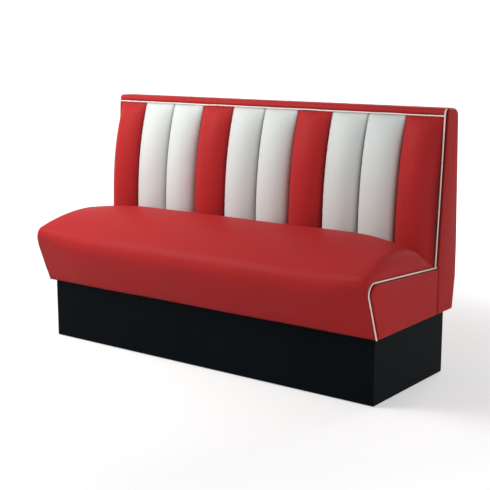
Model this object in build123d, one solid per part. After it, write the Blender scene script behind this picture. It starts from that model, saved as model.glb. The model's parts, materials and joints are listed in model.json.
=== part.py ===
from build123d import *

import math
import os

# A booth bench for a diner: an upholstered seat and a channelled back on a black box plinth.
# Lengths are millimetres. X runs along the bench, -Y is the front and Z is up.
# The origin is on the floor, under the middle of the bench's bounding box.

# Overall size
width = 1500.0
depth = 610.0
height = 945.0
plinth_height = 232.0

# Clearances and the overrun that cuts share
touch_gap = 0.3
panel_gap = 0.6
overrun = 2.0
foot_overrun = 10.0

# Upholstery
skin = 1.5
piping_radius = 2.5
piping_sink = 1.0
side_panel_thickness = 4.0
side_panel_recess = 2.0
felt_thickness = 3.0
dust_cloth = 0.8

# Boards and timber
frame_ply = 18.0
face_ply = 12.0
rear_hardboard = 4.0
back_rail_thickness = 22.0
batten = 30.0
rail_height = 40.0
cross_rail_height = 60.0
cross_rail_width = 25.0
inner_frame_share = 0.351

# Seat: the end profile that the side panels show
seat_body_height = 169.0
front_edge_setback = 71.0
front_lean = 72.0
end_front_lift = 27.0
end_rear_lift = 1.0
end_nose_radius = 33.0

# Seat: the fuller profile over the middle of the bench, which starts at crown_reach from the ends
crown_reach = 280.0
crown_rise = 106.0
crown_bow = 21.0
crown_peak_setback = 39.0
front_bow = 7.5
middle_nose_radius = 65.0
middle_nose_drop = 13.0
middle_front_normal = 195.0
middle_top_normal = 117.0
rear_roll_drop = 40.0
rear_roll_bow = 9.7

# Seat: the steep shoulders, which stand just inside both ends
shoulder_width = 24.0
shoulder_rise = 82.0
shoulder_bow = 10.5
shoulder_peak_setback = 157.0
shoulder_nose_radius = 26.0
shoulder_nose_rise = 32.0
shoulder_top_normal = 122.0
shoulder_roll_drop = 42.0
shoulder_roll_bow = 12.0
corner_setback = 58.0
corner_power = 4.0
corner_fade_share = 0.7
shoulder_gap = 1.0
flattest_share = 0.03
seat_station_shares = (0.005, 0.02, 0.045, 0.086, 0.2, 0.4, 0.65, 1.0)
apron_foam = 10.0
ledge_foam = 24.0

# Back: places along the depth, measured forward from the rearmost face
seam_to_rear = 134.0
front_low_to_rear = 146.0
front_top_to_rear = 111.0
rear_top_setback = 22.0
rear_low_setback = 16.0
plinth_to_rear = 39.5
plinth_front_setback = 90.0
plinth_end_inset = 19.3

# Back: heights and roundings
belly_low_rise = 119.0
belly_high_rise = 226.0
top_front_radius = 18.0
top_rear_radius = 30.0
top_seam_drop = 25.5
rear_seam_drop = 40.0
top_foam = 10.0
lumbar_height = 560.0
piping_end_turn = 65.0

# Channels: valleys are the sewn lines, and the rise is how far each roll stands out
channel_count = 10
white_channels = (1, 2, 4, 5, 7, 8)
channel_rise = 42.0
valley_low_to_rear = 172.0
valley_top_to_rear = 109.0
valley_bend_power = 2.7
rise_fade_power = 6.0
strip_gap = 0.4
edge_tuck = 3.0
board_setback = 10.0
channel_station_shares = (0.0, 0.22, 0.38, 0.5, 0.6, 0.69, 0.77, 0.84, 0.9, 0.94, 0.97, 0.99, 1.0)

# Zigzag springs and their clips
spring_count = 12
spring_wire_radius = 1.9
spring_width = 50.0
spring_bars = 20
spring_bend_share = 0.45
spring_edge_margin = 55.0
clip_plate = 1.2
clip_length = 16.0
clip_lip = 9.0

# Fasteners and glides
screw_radius = 2.2
screw_length = 45.0
screw_head_radius = 4.2
screw_head_height = 2.6
bore_gap = 0.15
fixing_screw_shares = (-0.84, -0.28, 0.28, 0.84)
batten_screw_shares = (-0.9, -0.45, 0.0, 0.45, 0.9)
block_screw_height_shares = (0.2, 0.7)
block_screw_step = 14.0
bolt_radius = 4.0
bolt_length = 45.0
bolt_head_radius = 6.5
bolt_head_height = 5.0
bolt_head_sides = 6
washer_radius = 12.0
washer_thickness = 1.6
tee_flange_radius = 11.0
tee_flange_thickness = 1.5
tee_barrel_radius = 5.2
tee_barrel_length = 9.0
bolt_shares = (-0.73, -0.24, 0.24, 0.73)
bolt_rise = 80.0
glide_height = 3.0
glide_radius = 12.0

# Places worked out from the sizes above
front_y = -depth / 2
rear_y = depth / 2
half_width = width / 2
cover_half = half_width - 2 * piping_radius - touch_gap / 3
piping_x = half_width - piping_radius
panel_outer_x = half_width - side_panel_recess
panel_inner_x = panel_outer_x - side_panel_thickness
frame_half = panel_inner_x - touch_gap
panel_inset = piping_sink + piping_radius + touch_gap / 3
frame_low = plinth_height + dust_cloth

ledge_z = plinth_height + seat_body_height
frame_top = ledge_z - ledge_foam
spring_stack = 2 * clip_plate + 2 * spring_wire_radius + touch_gap
rail_top = frame_top - felt_thickness - spring_stack - touch_gap
spring_z = rail_top + clip_plate + touch_gap / 2 + spring_wire_radius

seam_y = rear_y - seam_to_rear
front_low_y = rear_y - front_low_to_rear
front_top_y = rear_y - front_top_to_rear
top_seam_z = height - top_seam_drop
back_slope = (front_top_y - front_low_y) / (top_seam_z - ledge_z)

edge_y = front_y + front_edge_setback
corner_y = edge_y - front_lean
corner_z = ledge_z + end_front_lift
end_rear_z = ledge_z + end_rear_lift
front_slope = front_lean / (corner_z - plinth_height)
top_slope = (end_rear_z - corner_z) / (front_low_y - corner_y)

channel_low_z = ledge_z + touch_gap
channel_high_z = top_seam_z - piping_radius - touch_gap / 2
valley_low_y = rear_y - valley_low_to_rear
valley_top_y = rear_y - valley_top_to_rear
seat_wall_y = valley_low_y - channel_rise - touch_gap
channel_width = width / channel_count
outer_crest_x = half_width - channel_width / 2
board_low_z = ledge_z + panel_gap

plinth_front_y = front_y + plinth_front_setback
plinth_rear_y = rear_y - plinth_to_rear
plinth_half = half_width - plinth_end_inset
plinth_inner_half = plinth_half - frame_ply
inner_frame_x = plinth_inner_half * inner_frame_share


def blend(start, end, share):
    """The value that lies a share of the way from start to end."""
    return start + (end - start) * share


def block(low, high):
    """A plain block between two opposite corners."""
    size = [b - a for a, b in zip(low, high)]
    middle = [(a + b) / 2 for a, b in zip(low, high)]
    return Pos(*middle) * Box(*size)


def outline_face(points):
    """A flat face in the Y-Z plane through straight edges."""
    return make_face(Polyline([(0, y, z) for y, z in points], close=True))


def along_x(face, low_x, high_x):
    """A face of the Y-Z plane given its length along X."""
    return Pos(low_x, 0, 0) * extrude(face, amount=high_x - low_x, dir=(1, 0, 0))


def mirrored(piece):
    """The same piece at the other end of the bench."""
    return mirror(piece, about=Plane.YZ)


def rod(start, direction, length, radius):
    """A round rod from a point along a direction."""
    return extrude(Plane(start, z_dir=direction) * Circle(radius), amount=length)


def bowed(start, end, bow):
    """An arc from start to end that bulges to the left of the way it runs, by bow."""
    run_y, run_z = end[1] - start[1], end[2] - start[2]
    chord = math.hypot(run_y, run_z)
    top = (
        start[0],
        (start[1] + end[1]) / 2 - run_z / chord * bow,
        (start[2] + end[2]) / 2 + run_y / chord * bow,
    )
    return Edge.make_three_point_arc(start, top, end)


# The seat's profile


def end_top_z(y):
    """Height of the straight top edge that the seat's side panels show."""
    return corner_z + (y - corner_y) * top_slope


def end_nose():
    """Centre of the rounding at the front top corner of the seat's ends, and its two normals."""
    front_turn = math.atan2(-front_slope, -1) % math.tau
    top_turn = math.atan2(1, -top_slope)
    reach = end_nose_radius / math.cos((front_turn - top_turn) / 2)
    middle = (front_turn + top_turn) / 2
    centre_y = corner_y - reach * math.cos(middle)
    centre_z = corner_z - reach * math.sin(middle)
    return centre_y, centre_z, math.degrees(front_turn), math.degrees(top_turn)


def shoulder_share(x):
    """How far the seat has risen from its ends: a quarter circle over the shoulder's width."""
    place = min(max(cover_half - abs(x), 0) / shoulder_width, 1)
    return math.sqrt(1 - (1 - place) ** 2)


def crown_share(x):
    """How near the seat's profile is to its middle one: 0 at the ends and 1 from crown_reach on."""
    place = min(max(cover_half - abs(x), 0) / crown_reach, 1)
    return 1 - (1 - place) ** 2


def corner_share(x):
    """How far the seat's rear wall has followed the outermost channels back: 1 at the ends."""
    return max((abs(x) - outer_crest_x) / (cover_half - outer_crest_x), 0) ** corner_power


def seat_line(x, inset, end_inset, low_z, heel_z):
    """Edges over the seat at one place along it, from its front edge to its heel at the seam."""
    risen, crowned, corner = shoulder_share(abs(x) + end_inset), crown_share(x), corner_share(x)
    bow_share = max(risen, flattest_share)
    end_y, end_z, end_front, end_top = end_nose()

    def profile(end, shoulder, middle):
        return blend(end, blend(shoulder, middle, crowned), risen)

    full_radius = blend(shoulder_nose_radius, middle_nose_radius, crowned)
    radius = blend(end_nose_radius, full_radius, risen) - inset
    centre_y = blend(end_y, front_y + full_radius, risen)
    centre_z = profile(end_z, ledge_z + shoulder_nose_rise, ledge_z - middle_nose_drop)
    front_normal = math.radians(blend(end_front, middle_front_normal, risen))
    top_normal = math.radians(profile(end_top, shoulder_top_normal, middle_top_normal))
    peak_y = seat_wall_y - blend(shoulder_peak_setback, crown_peak_setback, crowned)
    wall_y = seat_wall_y + corner_setback * corner
    roll_rise_here = profile(0, shoulder_rise - shoulder_roll_drop, crown_rise - rear_roll_drop)
    roll_rise_here *= 1 - corner_fade_share * corner

    def nose(turn):
        return (x, centre_y + radius * math.cos(turn), centre_z + radius * math.sin(turn))

    low_y = edge_y + inset + (plinth_height - low_z) * front_slope
    edge = (x, low_y, low_z)
    peak = (x, peak_y, end_top_z(peak_y) + profile(0, shoulder_rise, crown_rise) - inset)
    roll = (x, wall_y - inset, end_top_z(wall_y) + roll_rise_here - inset * (1 - risen))
    foot = (x, wall_y - inset, ledge_z - inset)
    ledge = (x, seam_y - inset, ledge_z - inset)
    heel = (x, seam_y - inset, heel_z)
    edges = [
        bowed(edge, nose(front_normal), front_bow * max(crowned * risen, flattest_share)),
        Edge.make_three_point_arc(
            nose(front_normal), nose((front_normal + top_normal) / 2), nose(top_normal)
        ),
        bowed(nose(top_normal), peak, blend(shoulder_bow, crown_bow, crowned) * bow_share),
        bowed(peak, roll, blend(shoulder_roll_bow, rear_roll_bow, crowned) * bow_share),
        Edge.make_line(roll, foot),
        Edge.make_line(foot, ledge),
        Edge.make_line(ledge, heel),
    ]
    return edge, edges, heel


def cover_section(x):
    """Closed outline of the seat's cover at one place along the bench."""
    outer_edge, outer, outer_heel = seat_line(x, 0, 0, plinth_height, plinth_height)
    inner_edge, inner, inner_heel = seat_line(x, skin, skin, plinth_height, plinth_height)
    heel_line = Edge.make_line(outer_heel, inner_heel)
    edge_line = Edge.make_line(inner_edge, outer_edge)
    return Wire(outer + [heel_line] + inner[::-1] + [edge_line])


def foam_section(x):
    """Closed outline of the seat's foam at one place along the bench, over its timber frame."""
    low, high = frame_low, frame_top + touch_gap
    inset = skin + touch_gap
    edge, edges, heel = seat_line(x, inset, inset + shoulder_gap, low, high)
    board_top = (x, front_board_y(high, apron_foam - touch_gap), high)
    board_low = (x, front_board_y(low, apron_foam - touch_gap), low)
    closing = Polyline(heel, board_top, board_low, edge).edges()
    return Wire(edges + list(closing))


def along_seat(section, half_length):
    """A loft through a section of the seat, placed from end to end of the bench."""
    stations = [cover_half - share * crown_reach for share in seat_station_shares]
    right = sorted(x for x in stations if x < half_length) + [half_length]
    places = [-x for x in reversed(right)] + right
    return Solid.make_loft([section(x) for x in places], ruled=True)


def front_board_y(z, setback):
    """Y of a plane that runs parallel to the seat's front edge line, set in by setback."""
    return edge_y + setback - (z - plinth_height) * front_slope


def seat_end_outline(inset):
    """The seat's end profile, drawn in by inset along its front and top, down to its underside."""
    foot = plinth_height - foot_overrun
    face = outline_face(
        [
            (front_board_y(foot, 0), foot),
            (corner_y, corner_z),
            (seam_y + foot_overrun, end_top_z(seam_y + foot_overrun)),
            (seam_y + foot_overrun, foot),
        ]
    )
    nose = face.vertices().sort_by(Axis.Y)[0]
    face = offset(fillet(nose, end_nose_radius), amount=-inset, kind=Kind.INTERSECTION)
    return face & half_plane(front_y, seam_y - skin - touch_gap, plinth_height, height)


# The back's profile


def back_front_y(z):
    """Y of the straight front line that the back's side panels show."""
    return front_low_y + (z - ledge_z) * back_slope


def back_outline(inset):
    """The back's end profile, drawn in by inset on all sides but its underside."""
    foot = plinth_height - foot_overrun
    foot_setback = rear_low_setback * (1 + foot_overrun / belly_low_rise)
    face = outline_face(
        [
            (seam_y, foot),
            (seam_y, ledge_z),
            (front_low_y, ledge_z),
            (back_front_y(height), height),
            (rear_y - rear_top_setback, height),
            (rear_y, plinth_height + belly_high_rise),
            (rear_y, plinth_height + belly_low_rise),
            (rear_y - foot_setback, foot),
        ]
    )
    top = face.vertices().group_by(Axis.Z)[-1].sort_by(Axis.Y)
    face = fillet(top[0], top_front_radius)
    top = face.vertices().group_by(Axis.Z)[-1].sort_by(Axis.Y)
    face = fillet(top[-1], top_rear_radius)
    if inset:
        face = offset(face, amount=-inset, kind=Kind.INTERSECTION)
    return face & half_plane(front_y, rear_y + overrun, plinth_height, height + overrun)


def half_plane(low_y, high_y, low_z, high_z):
    """A rectangle of the Y-Z plane, to keep or cut part of a profile."""
    return outline_face([(low_y, low_z), (low_y, high_z), (high_y, high_z), (high_y, low_z)])


def front_board_outline():
    """The leaning board that the channels are built on."""
    high = height - skin - touch_gap - top_foam
    low_y = back_front_y(board_low_z) + board_setback
    high_y = back_front_y(high) + board_setback
    return outline_face(
        [
            (low_y, board_low_z),
            (high_y, high),
            (high_y + face_ply, high),
            (low_y + face_ply, board_low_z),
        ]
    )


def back_frame_outline():
    """Side of the back's timber frame: behind both front boards and inside the rear board."""
    high = height - skin - touch_gap - top_foam
    stack = skin + touch_gap + rear_hardboard
    behind_lower = seam_y + touch_gap + face_ply
    behind_upper = board_setback + face_ply
    front = outline_face(
        [
            (behind_lower, frame_low),
            (behind_lower, board_low_z),
            (back_front_y(board_low_z) + behind_upper, board_low_z),
            (back_front_y(high) + behind_upper, high),
            (rear_y, high),
            (rear_y, frame_low),
        ]
    )
    return front & back_outline(stack)


# Channels


def height_share(z):
    """How far up the channels a height is, from 0 at the ledge to 1 at the top seam."""
    return min(max((z - channel_low_z) / (channel_high_z - channel_low_z), 0), 1)


def valley_y(z):
    """Y of the sewn line between two channels."""
    return blend(valley_low_y, valley_top_y, height_share(z) ** valley_bend_power)


def roll_rise(z):
    """How far a channel stands out of its sewn lines."""
    fade = math.sqrt(1 - height_share(z) ** rise_fade_power)
    return channel_rise * max(fade, flattest_share)


def half_roll(edge, crest):
    """An arc from a channel's edge to its crest, running flat along the bench at the crest."""
    half, rise = crest[0] - edge[0], edge[1] - crest[1]
    radius = (half**2 + rise**2) / (2 * rise)
    turn = math.atan2(abs(half), radius - rise) / 2
    middle = (
        crest[0] - math.copysign(radius * math.sin(turn), half),
        crest[1] + radius * (1 - math.cos(turn)),
        crest[2],
    )
    return Edge.make_three_point_arc(edge, middle, crest)


def channel_edges(channel):
    """X of the two sewn edges of a channel."""
    left = channel * channel_width - half_width
    right = left + channel_width
    return max(left + strip_gap / 2, -frame_half), min(right - strip_gap / 2, frame_half)


def channel_line(channel, inset, z):
    """Edges round the front of a channel at one height, from its back on the left to the right."""
    left_x, right_x = channel_edges(channel)
    crest_y = valley_y(z) - roll_rise(z)
    outer_y = min(back_front_y(z) + edge_tuck, crest_y + (right_x - left_x) / 2)
    left_y = outer_y if channel == 0 else valley_y(z)
    right_y = outer_y if channel == channel_count - 1 else valley_y(z)
    back_y = back_front_y(z) + board_setback - touch_gap
    crest = ((left_x + right_x) / 2, crest_y + inset, z)
    left = (left_x + inset, left_y + inset, z)
    right = (right_x - inset, right_y + inset, z)
    back_left = (left[0], back_y, z)
    back_right = (right[0], back_y, z)
    edges = [
        Edge.make_line(back_left, left),
        half_roll(left, crest),
        half_roll(right, crest),
        Edge.make_line(right, back_right),
    ]
    return back_left, edges, back_right


def strip_section(channel, z):
    """Closed outline of one channel's sewn cover at one height, open at the back."""
    outer_left, outer, outer_right = channel_line(channel, 0, z)
    inner_left, inner, inner_right = channel_line(channel, skin, z)
    right_line = Edge.make_line(outer_right, inner_right)
    left_line = Edge.make_line(inner_left, outer_left)
    return Wire(outer + [right_line] + inner[::-1] + [left_line])


def core_section(channel, z):
    """Closed outline of one channel's foam at one height."""
    left, edges, right = channel_line(channel, skin + touch_gap, z)
    return Wire(edges + [Edge.make_line(right, left)])


def up_channel(section, channel):
    """A loft through a section of one channel, placed from its foot to its top."""
    heights = [blend(channel_low_z, channel_high_z, share) for share in channel_station_shares]
    return Solid.make_loft([section(channel, z) for z in heights], ruled=True)


def channel_strip(channel):
    """The sewn cover of one channel, stapled down along both its edges."""
    return up_channel(strip_section, channel)


def channel_core(channel):
    """The foam roll inside one channel."""
    return up_channel(core_section, channel)


def channel_copies(make):
    """One piece for each channel: inner channels are alike, and the outer two are mirror twins."""
    outer = make(channel_count - 1)
    inner = make(1)
    copies = [mirrored(outer)]
    copies += [Pos((k - 1) * channel_width, 0, 0) * inner for k in range(1, channel_count - 1)]
    return copies + [outer]


# Fasteners


def screw(start, direction, gap):
    """A pan-head screw with its head outside start, or its bore where there is a gap."""
    back = Vector(*direction) * -1
    shank = rod(start, direction, screw_length + gap, screw_radius + gap)
    if gap:
        return shank
    return shank + rod(start, back, screw_head_height, screw_head_radius)


def screw_places():
    """Every screw's start and direction."""
    batten_low = plinth_height - batten
    block_top = batten_low - glide_height
    rows = (
        (plinth_front_y + frame_ply + batten, -1),
        (plinth_rear_y - frame_ply - batten, 1),
    )
    places = []
    for inner_y, way in rows:
        middle_y = inner_y + way * batten / 2
        middle_z = plinth_height - batten / 2
        for share in fixing_screw_shares:
            places.append(((share * plinth_inner_half, middle_y, batten_low), (0, 0, 1)))
        for share in batten_screw_shares:
            places.append(((share * plinth_inner_half, inner_y, middle_z), (0, way, 0)))
        for side in (-1, 1):
            inner_x = side * (plinth_inner_half - batten)
            middle_x = inner_x + side * batten / 2
            for share in block_screw_height_shares:
                z = glide_height + block_top * share
                places.append(((middle_x, inner_y, z), (0, way, 0)))
                places.append(((inner_x, middle_y, z + block_screw_step), (side, 0, 0)))
    return places


def screws():
    """All the wood screws."""
    return [screw(start, way, 0) for start, way in screw_places()]


def screw_bores():
    """The bores that the wood screws sit in."""
    return [screw(start, way, bore_gap) for start, way in screw_places()]


def bolt_start_y():
    """Y of the front of the seat's back rail, where the washers lie."""
    return seam_y - skin - touch_gap - back_rail_thickness


def tee_face_y():
    """Y of the rear of the back's lower board, where the tee nuts lie."""
    return seam_y + touch_gap + face_ply


def bolt_points(y):
    """Where the bolts' axes pass a plane across the depth."""
    return [(share * frame_half, y, plinth_height + bolt_rise) for share in bolt_shares]


def bolt_bores():
    """Clearance bores through the seat's rear and the back's lower board."""
    start_y = bolt_start_y() - overrun
    reach = tee_face_y() + overrun - start_y
    return [rod(point, (0, 1, 0), reach, bolt_radius + bore_gap) for point in bolt_points(start_y)]


def tee_bores():
    """Wider bores in the rear of the back's lower board, for the barrels of the tee nuts."""
    start_y = tee_face_y() - tee_barrel_length
    reach = tee_barrel_length + overrun
    radius = tee_barrel_radius + bore_gap
    return [rod(point, (0, 1, 0), reach, radius) for point in bolt_points(start_y)]


def joining_bolts():
    """Hexagon bolts that join the seat to the back."""
    pieces = []
    for point in bolt_points(bolt_start_y() - washer_thickness):
        plane = Plane(point, z_dir=(0, -1, 0))
        outline = plane * RegularPolygon(bolt_head_radius, bolt_head_sides)
        head = extrude(outline, amount=bolt_head_height)
        pieces.append(head + rod(point, (0, 1, 0), bolt_length, bolt_radius))
    return pieces


def bolt_washers():
    """Plain washers under the bolt heads."""
    pieces = []
    for point in bolt_points(bolt_start_y() - washer_thickness):
        disc = rod(point, (0, 1, 0), washer_thickness, washer_radius)
        hole = rod(point, (0, 1, 0), washer_thickness, bolt_radius + bore_gap)
        pieces.append(disc - hole)
    return pieces


def tee_nuts():
    """Tee nuts let into the rear of the back's lower board."""
    length = tee_flange_thickness + tee_barrel_length
    barrel_starts = bolt_points(tee_face_y() - tee_barrel_length)
    pieces = []
    for point, start in zip(bolt_points(tee_face_y()), barrel_starts):
        flange = rod(point, (0, 1, 0), tee_flange_thickness, tee_flange_radius)
        barrel = rod(start, (0, 1, 0), tee_barrel_length, tee_barrel_radius)
        pieces.append(flange + barrel - rod(start, (0, 1, 0), length, bolt_radius + bore_gap))
    return pieces


# Plinth


def plinth_pieces():
    """The black box that carries the seat and the back."""
    low, high = glide_height, plinth_height
    front_inner = plinth_front_y + frame_ply
    rear_inner = plinth_rear_y - frame_ply
    batten_low = high - batten
    end_board = block((plinth_inner_half, front_inner, low), (plinth_half, rear_inner, high))
    brace = block(
        (inner_frame_x - frame_ply / 2, front_inner, low),
        (inner_frame_x + frame_ply / 2, rear_inner, batten_low),
    )
    return {
        "plinth_front_board": block(
            (-plinth_half, plinth_front_y, low), (plinth_half, front_inner, high)
        ),
        "plinth_back_board": block(
            (-plinth_half, rear_inner, low), (plinth_half, plinth_rear_y, high)
        ),
        "plinth_left_board": mirrored(end_board),
        "plinth_right_board": end_board,
        "plinth_brace_left": mirrored(brace),
        "plinth_brace_right": brace,
        "plinth_battens": [
            block((-plinth_inner_half, low_y, batten_low), (plinth_inner_half, high_y, high))
            for low_y, high_y in batten_strips(front_inner, rear_inner)
        ],
        "plinth_corner_blocks": corner_blocks(front_inner, rear_inner, low, batten_low),
    }


def batten_strips(front_inner, rear_inner):
    """Lowest and highest Y of the strips that battens and corner blocks fill, front then rear."""
    return (front_inner, front_inner + batten), (rear_inner - batten, rear_inner)


def corner_blocks(front_inner, rear_inner, low, high):
    """Upright softwood blocks in the four inner corners."""
    pieces = []
    for low_y, high_y in batten_strips(front_inner, rear_inner):
        right = block((plinth_inner_half - batten, low_y, low), (plinth_inner_half, high_y, high))
        pieces += [mirrored(right), right]
    return pieces


def floor_glides():
    """Nail-on glides under the corner blocks and the ends of the braces."""
    front_row = plinth_front_y + frame_ply + batten / 2
    rear_row = plinth_rear_y - frame_ply - batten / 2
    end_x = plinth_inner_half - batten / 2
    pieces = []
    for y in (front_row, rear_row):
        for x in (-end_x, -inner_frame_x, inner_frame_x, end_x):
            pieces.append(rod((x, y, 0), (0, 0, 1), glide_height, glide_radius))
    return pieces


# Seat frame


def seat_rail_outline(low, high, reach):
    """A rail whose front leans against the back of the seat's front board."""
    behind = apron_foam + face_ply
    return outline_face(
        [
            (front_board_y(low, behind), low),
            (front_board_y(high, behind), high),
            (front_board_y(high, behind) + reach, high),
            (front_board_y(high, behind) + reach, low),
        ]
    )


def seat_gable_outline():
    """The ply end of the seat frame."""
    behind = apron_foam + face_ply
    rear = seam_y - skin - touch_gap
    return outline_face(
        [
            (front_board_y(frame_low, behind), frame_low),
            (front_board_y(frame_top, behind), frame_top),
            (rear, frame_top),
            (rear, frame_low),
        ]
    )


def seat_frame_pieces():
    """The seat's timber frame."""
    behind = apron_foam + face_ply
    rail_half = frame_half - frame_ply
    low_rail_top = frame_low + batten
    low_rail_reach = plinth_front_y + frame_ply + batten - front_board_y(low_rail_top, behind)
    cross_front = front_board_y(low_rail_top, behind) + low_rail_reach
    back_rear = seam_y - skin - touch_gap
    back_front = back_rear - back_rail_thickness
    gable = along_x(seat_gable_outline(), rail_half, frame_half)
    cross = block(
        (inner_frame_x - cross_rail_width / 2, cross_front, frame_low),
        (inner_frame_x + cross_rail_width / 2, back_front, frame_low + cross_rail_height),
    )
    front_board = outline_face(
        [
            (front_board_y(frame_low, apron_foam), frame_low),
            (front_board_y(frame_top, apron_foam), frame_top),
            (front_board_y(frame_top, behind), frame_top),
            (front_board_y(frame_low, behind), frame_low),
        ]
    )
    top_rail = seat_rail_outline(rail_top - rail_height, rail_top, rail_height)
    low_rail = seat_rail_outline(frame_low, low_rail_top, low_rail_reach)
    back_rail = block((-rail_half, back_front, frame_low), (rail_half, back_rear, rail_top))
    return {
        "seat_front_board": along_x(front_board, -frame_half, frame_half),
        "seat_front_top_rail": along_x(top_rail, -rail_half, rail_half),
        "seat_front_low_rail": along_x(low_rail, -rail_half, rail_half),
        "seat_back_rail": back_rail,
        "seat_gable_left": mirrored(gable),
        "seat_gable_right": gable,
        "seat_cross_rail_left": mirrored(cross),
        "seat_cross_rail_right": cross,
    }


def spring_ends():
    """Y of the first and last bar of each zigzag spring, over the middle of each rail."""
    front = front_board_y(rail_top, apron_foam + face_ply) + rail_height / 2
    rear = seam_y - skin - touch_gap - back_rail_thickness / 2
    return front, rear


def spring_x_places():
    """X of the middle of each spring."""
    reach = frame_half - frame_ply - spring_edge_margin
    return [blend(-reach, reach, k / (spring_count - 1)) for k in range(spring_count)]


def seat_springs():
    """Flat zigzag springs from the front rail to the back rail."""
    front, rear = spring_ends()
    pitch = (rear - front) / (spring_bars - 1)
    half = spring_width / 2
    points = []
    for bar in range(spring_bars):
        side = half if bar % 2 else -half
        points.append((side, front + bar * pitch, spring_z))
        points.append((-side, front + bar * pitch, spring_z))
    path = FilletPolyline(*points, radius=pitch * spring_bend_share)
    spring = sweep(Plane(points[0], z_dir=(1, 0, 0)) * Circle(spring_wire_radius), path=path)
    return [Pos(x, 0, 0) * spring for x in spring_x_places()]


def clip_outline(y, way):
    """A bent clip round the end bar of a spring, open towards the middle of the seat."""
    room = spring_wire_radius + touch_gap / 2
    far = room + clip_plate
    points = [(clip_lip, -far), (-far, -far), (-far, far), (clip_lip, far)]
    points += [(clip_lip, room), (-room, room), (-room, -room), (clip_lip, -room)]
    return outline_face([(y + way * reach, spring_z + rise) for reach, rise in points])


def spring_clips():
    """Steel clips that hold both ends of every spring."""
    front, rear = spring_ends()
    pieces = []
    for y, way in ((front, 1), (rear, -1)):
        clip = along_x(clip_outline(y, way), -clip_length / 2, clip_length / 2)
        pieces += [Pos(x, 0, 0) * clip for x in spring_x_places()]
    return pieces


def spring_felt():
    """Felt that keeps the springs off the foam."""
    rail_half = frame_half - frame_ply
    behind = front_board_y(frame_top - felt_thickness, apron_foam + face_ply)
    return block(
        (-rail_half, behind + touch_gap, frame_top - felt_thickness),
        (rail_half, seam_y - skin - touch_gap, frame_top),
    )


# Seat upholstery


def seat_foam():
    """The crowned foam over the frame, with the apron in front of it."""
    return along_seat(foam_section, frame_half)


def seat_cover():
    """The red cover of the seat, open below and at its ends."""
    return along_seat(cover_section, cover_half)


def seat_side_panel():
    """The flat panel on the right end of the seat."""
    return along_x(seat_end_outline(panel_inset), panel_inner_x, panel_outer_x)


def piping_along(edges):
    """Round piping along a path."""
    path = Wire(edges)
    start = Plane(path @ 0, z_dir=path % 0)
    return sweep(start * Circle(piping_radius), path=path)


def seat_piping():
    """Piping round the front and top of the right side panel."""
    end_y, end_z, front_normal, top_normal = end_nose()
    radius = end_nose_radius - piping_sink

    def nose(turn):
        angle = math.radians(turn)
        return (piping_x, end_y + radius * math.cos(angle), end_z + radius * math.sin(angle))

    low = (piping_x, front_board_y(plinth_height, piping_sink), plinth_height)
    first, last = nose(front_normal), nose(top_normal)
    rear_y_place = seam_y - panel_gap / 2
    rear = (piping_x, rear_y_place, end_top_z(rear_y_place) - piping_sink)
    return piping_along(
        [
            Edge.make_line(low, first),
            Edge.make_three_point_arc(first, nose((front_normal + top_normal) / 2), last),
            Edge.make_line(last, rear),
        ]
    )


# Back frame and upholstery


def back_frame_pieces():
    """The back's timber frame and its boards."""
    rail_half = frame_half - frame_ply
    side = back_frame_outline()
    high = height - skin - touch_gap - top_foam
    lower_y = seam_y + touch_gap
    top_zone = half_plane(front_y, rear_y, high - rail_height, high)
    below_zone = half_plane(front_y, rear_y, plinth_height, high - rail_height)
    gable = along_x(side, rail_half, frame_half)
    top_rail = along_x(side & top_zone, -rail_half, rail_half)
    low_rail = block(
        (-rail_half, lower_y + face_ply, frame_low),
        (rail_half, plinth_rear_y, frame_low + rail_height),
    )
    lumbar_zone = half_plane(front_y, rear_y, lumbar_height, lumbar_height + rail_height)
    lumbar_front = back_front_y(lumbar_height) + board_setback + face_ply
    lumbar_reach = half_plane(front_y, lumbar_front + batten, 0, height)
    lumbar_rail = along_x(side & lumbar_zone & lumbar_reach, -rail_half, rail_half)
    half_rib = frame_ply / 2
    rib = along_x(side & below_zone, inner_frame_x - half_rib, inner_frame_x + half_rib)
    rib = rib - low_rail - lumbar_rail
    rear_ring = back_outline(skin + touch_gap) - back_outline(skin + touch_gap + rear_hardboard)
    rear_zone = half_plane(
        rear_y - 2 * rear_top_setback, rear_y, frame_low, height - top_rear_radius - panel_gap
    )
    rear_face = rear_ring & rear_zone
    return {
        "back_gable_left": mirrored(gable),
        "back_gable_right": gable,
        "back_rib_left": mirrored(rib),
        "back_rib_right": rib,
        "back_top_rail": top_rail,
        "back_lumbar_rail": lumbar_rail,
        "back_low_rail": low_rail,
        "back_lower_board": block(
            (-frame_half, lower_y, frame_low), (frame_half, lower_y + face_ply, board_low_z)
        ),
        "back_front_board": along_x(front_board_outline(), -frame_half, frame_half),
        "back_rear_board": along_x(rear_face, -frame_half, frame_half),
    }


def back_top_foam():
    """Foam between the top rail and the red band over it."""
    high = height - skin - touch_gap - top_foam
    low = top_seam_z + piping_radius + touch_gap
    whole = back_outline(skin + touch_gap) & half_plane(front_y, rear_y, low, height)
    front_of_board = back_front_y(low) + board_setback - touch_gap
    rail = half_plane(front_of_board, rear_y + overrun, low - overrun, high + touch_gap / 3)
    return along_x(whole - rail, -frame_half, frame_half)


def back_skin_ring():
    """A ring of cover all round the back's profile."""
    return back_outline(0) - back_outline(skin)


def back_top_band():
    """The red band over the top of the back."""
    front_low = top_seam_z + piping_radius + touch_gap / 2
    middle_y = (back_front_y(height) + rear_y) / 2
    front = half_plane(front_y, middle_y, front_low, height + overrun)
    rear = half_plane(middle_y, rear_y + overrun, height - rear_seam_drop, height + overrun)
    return along_x(back_skin_ring() & (front + rear), -cover_half, cover_half)


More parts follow.
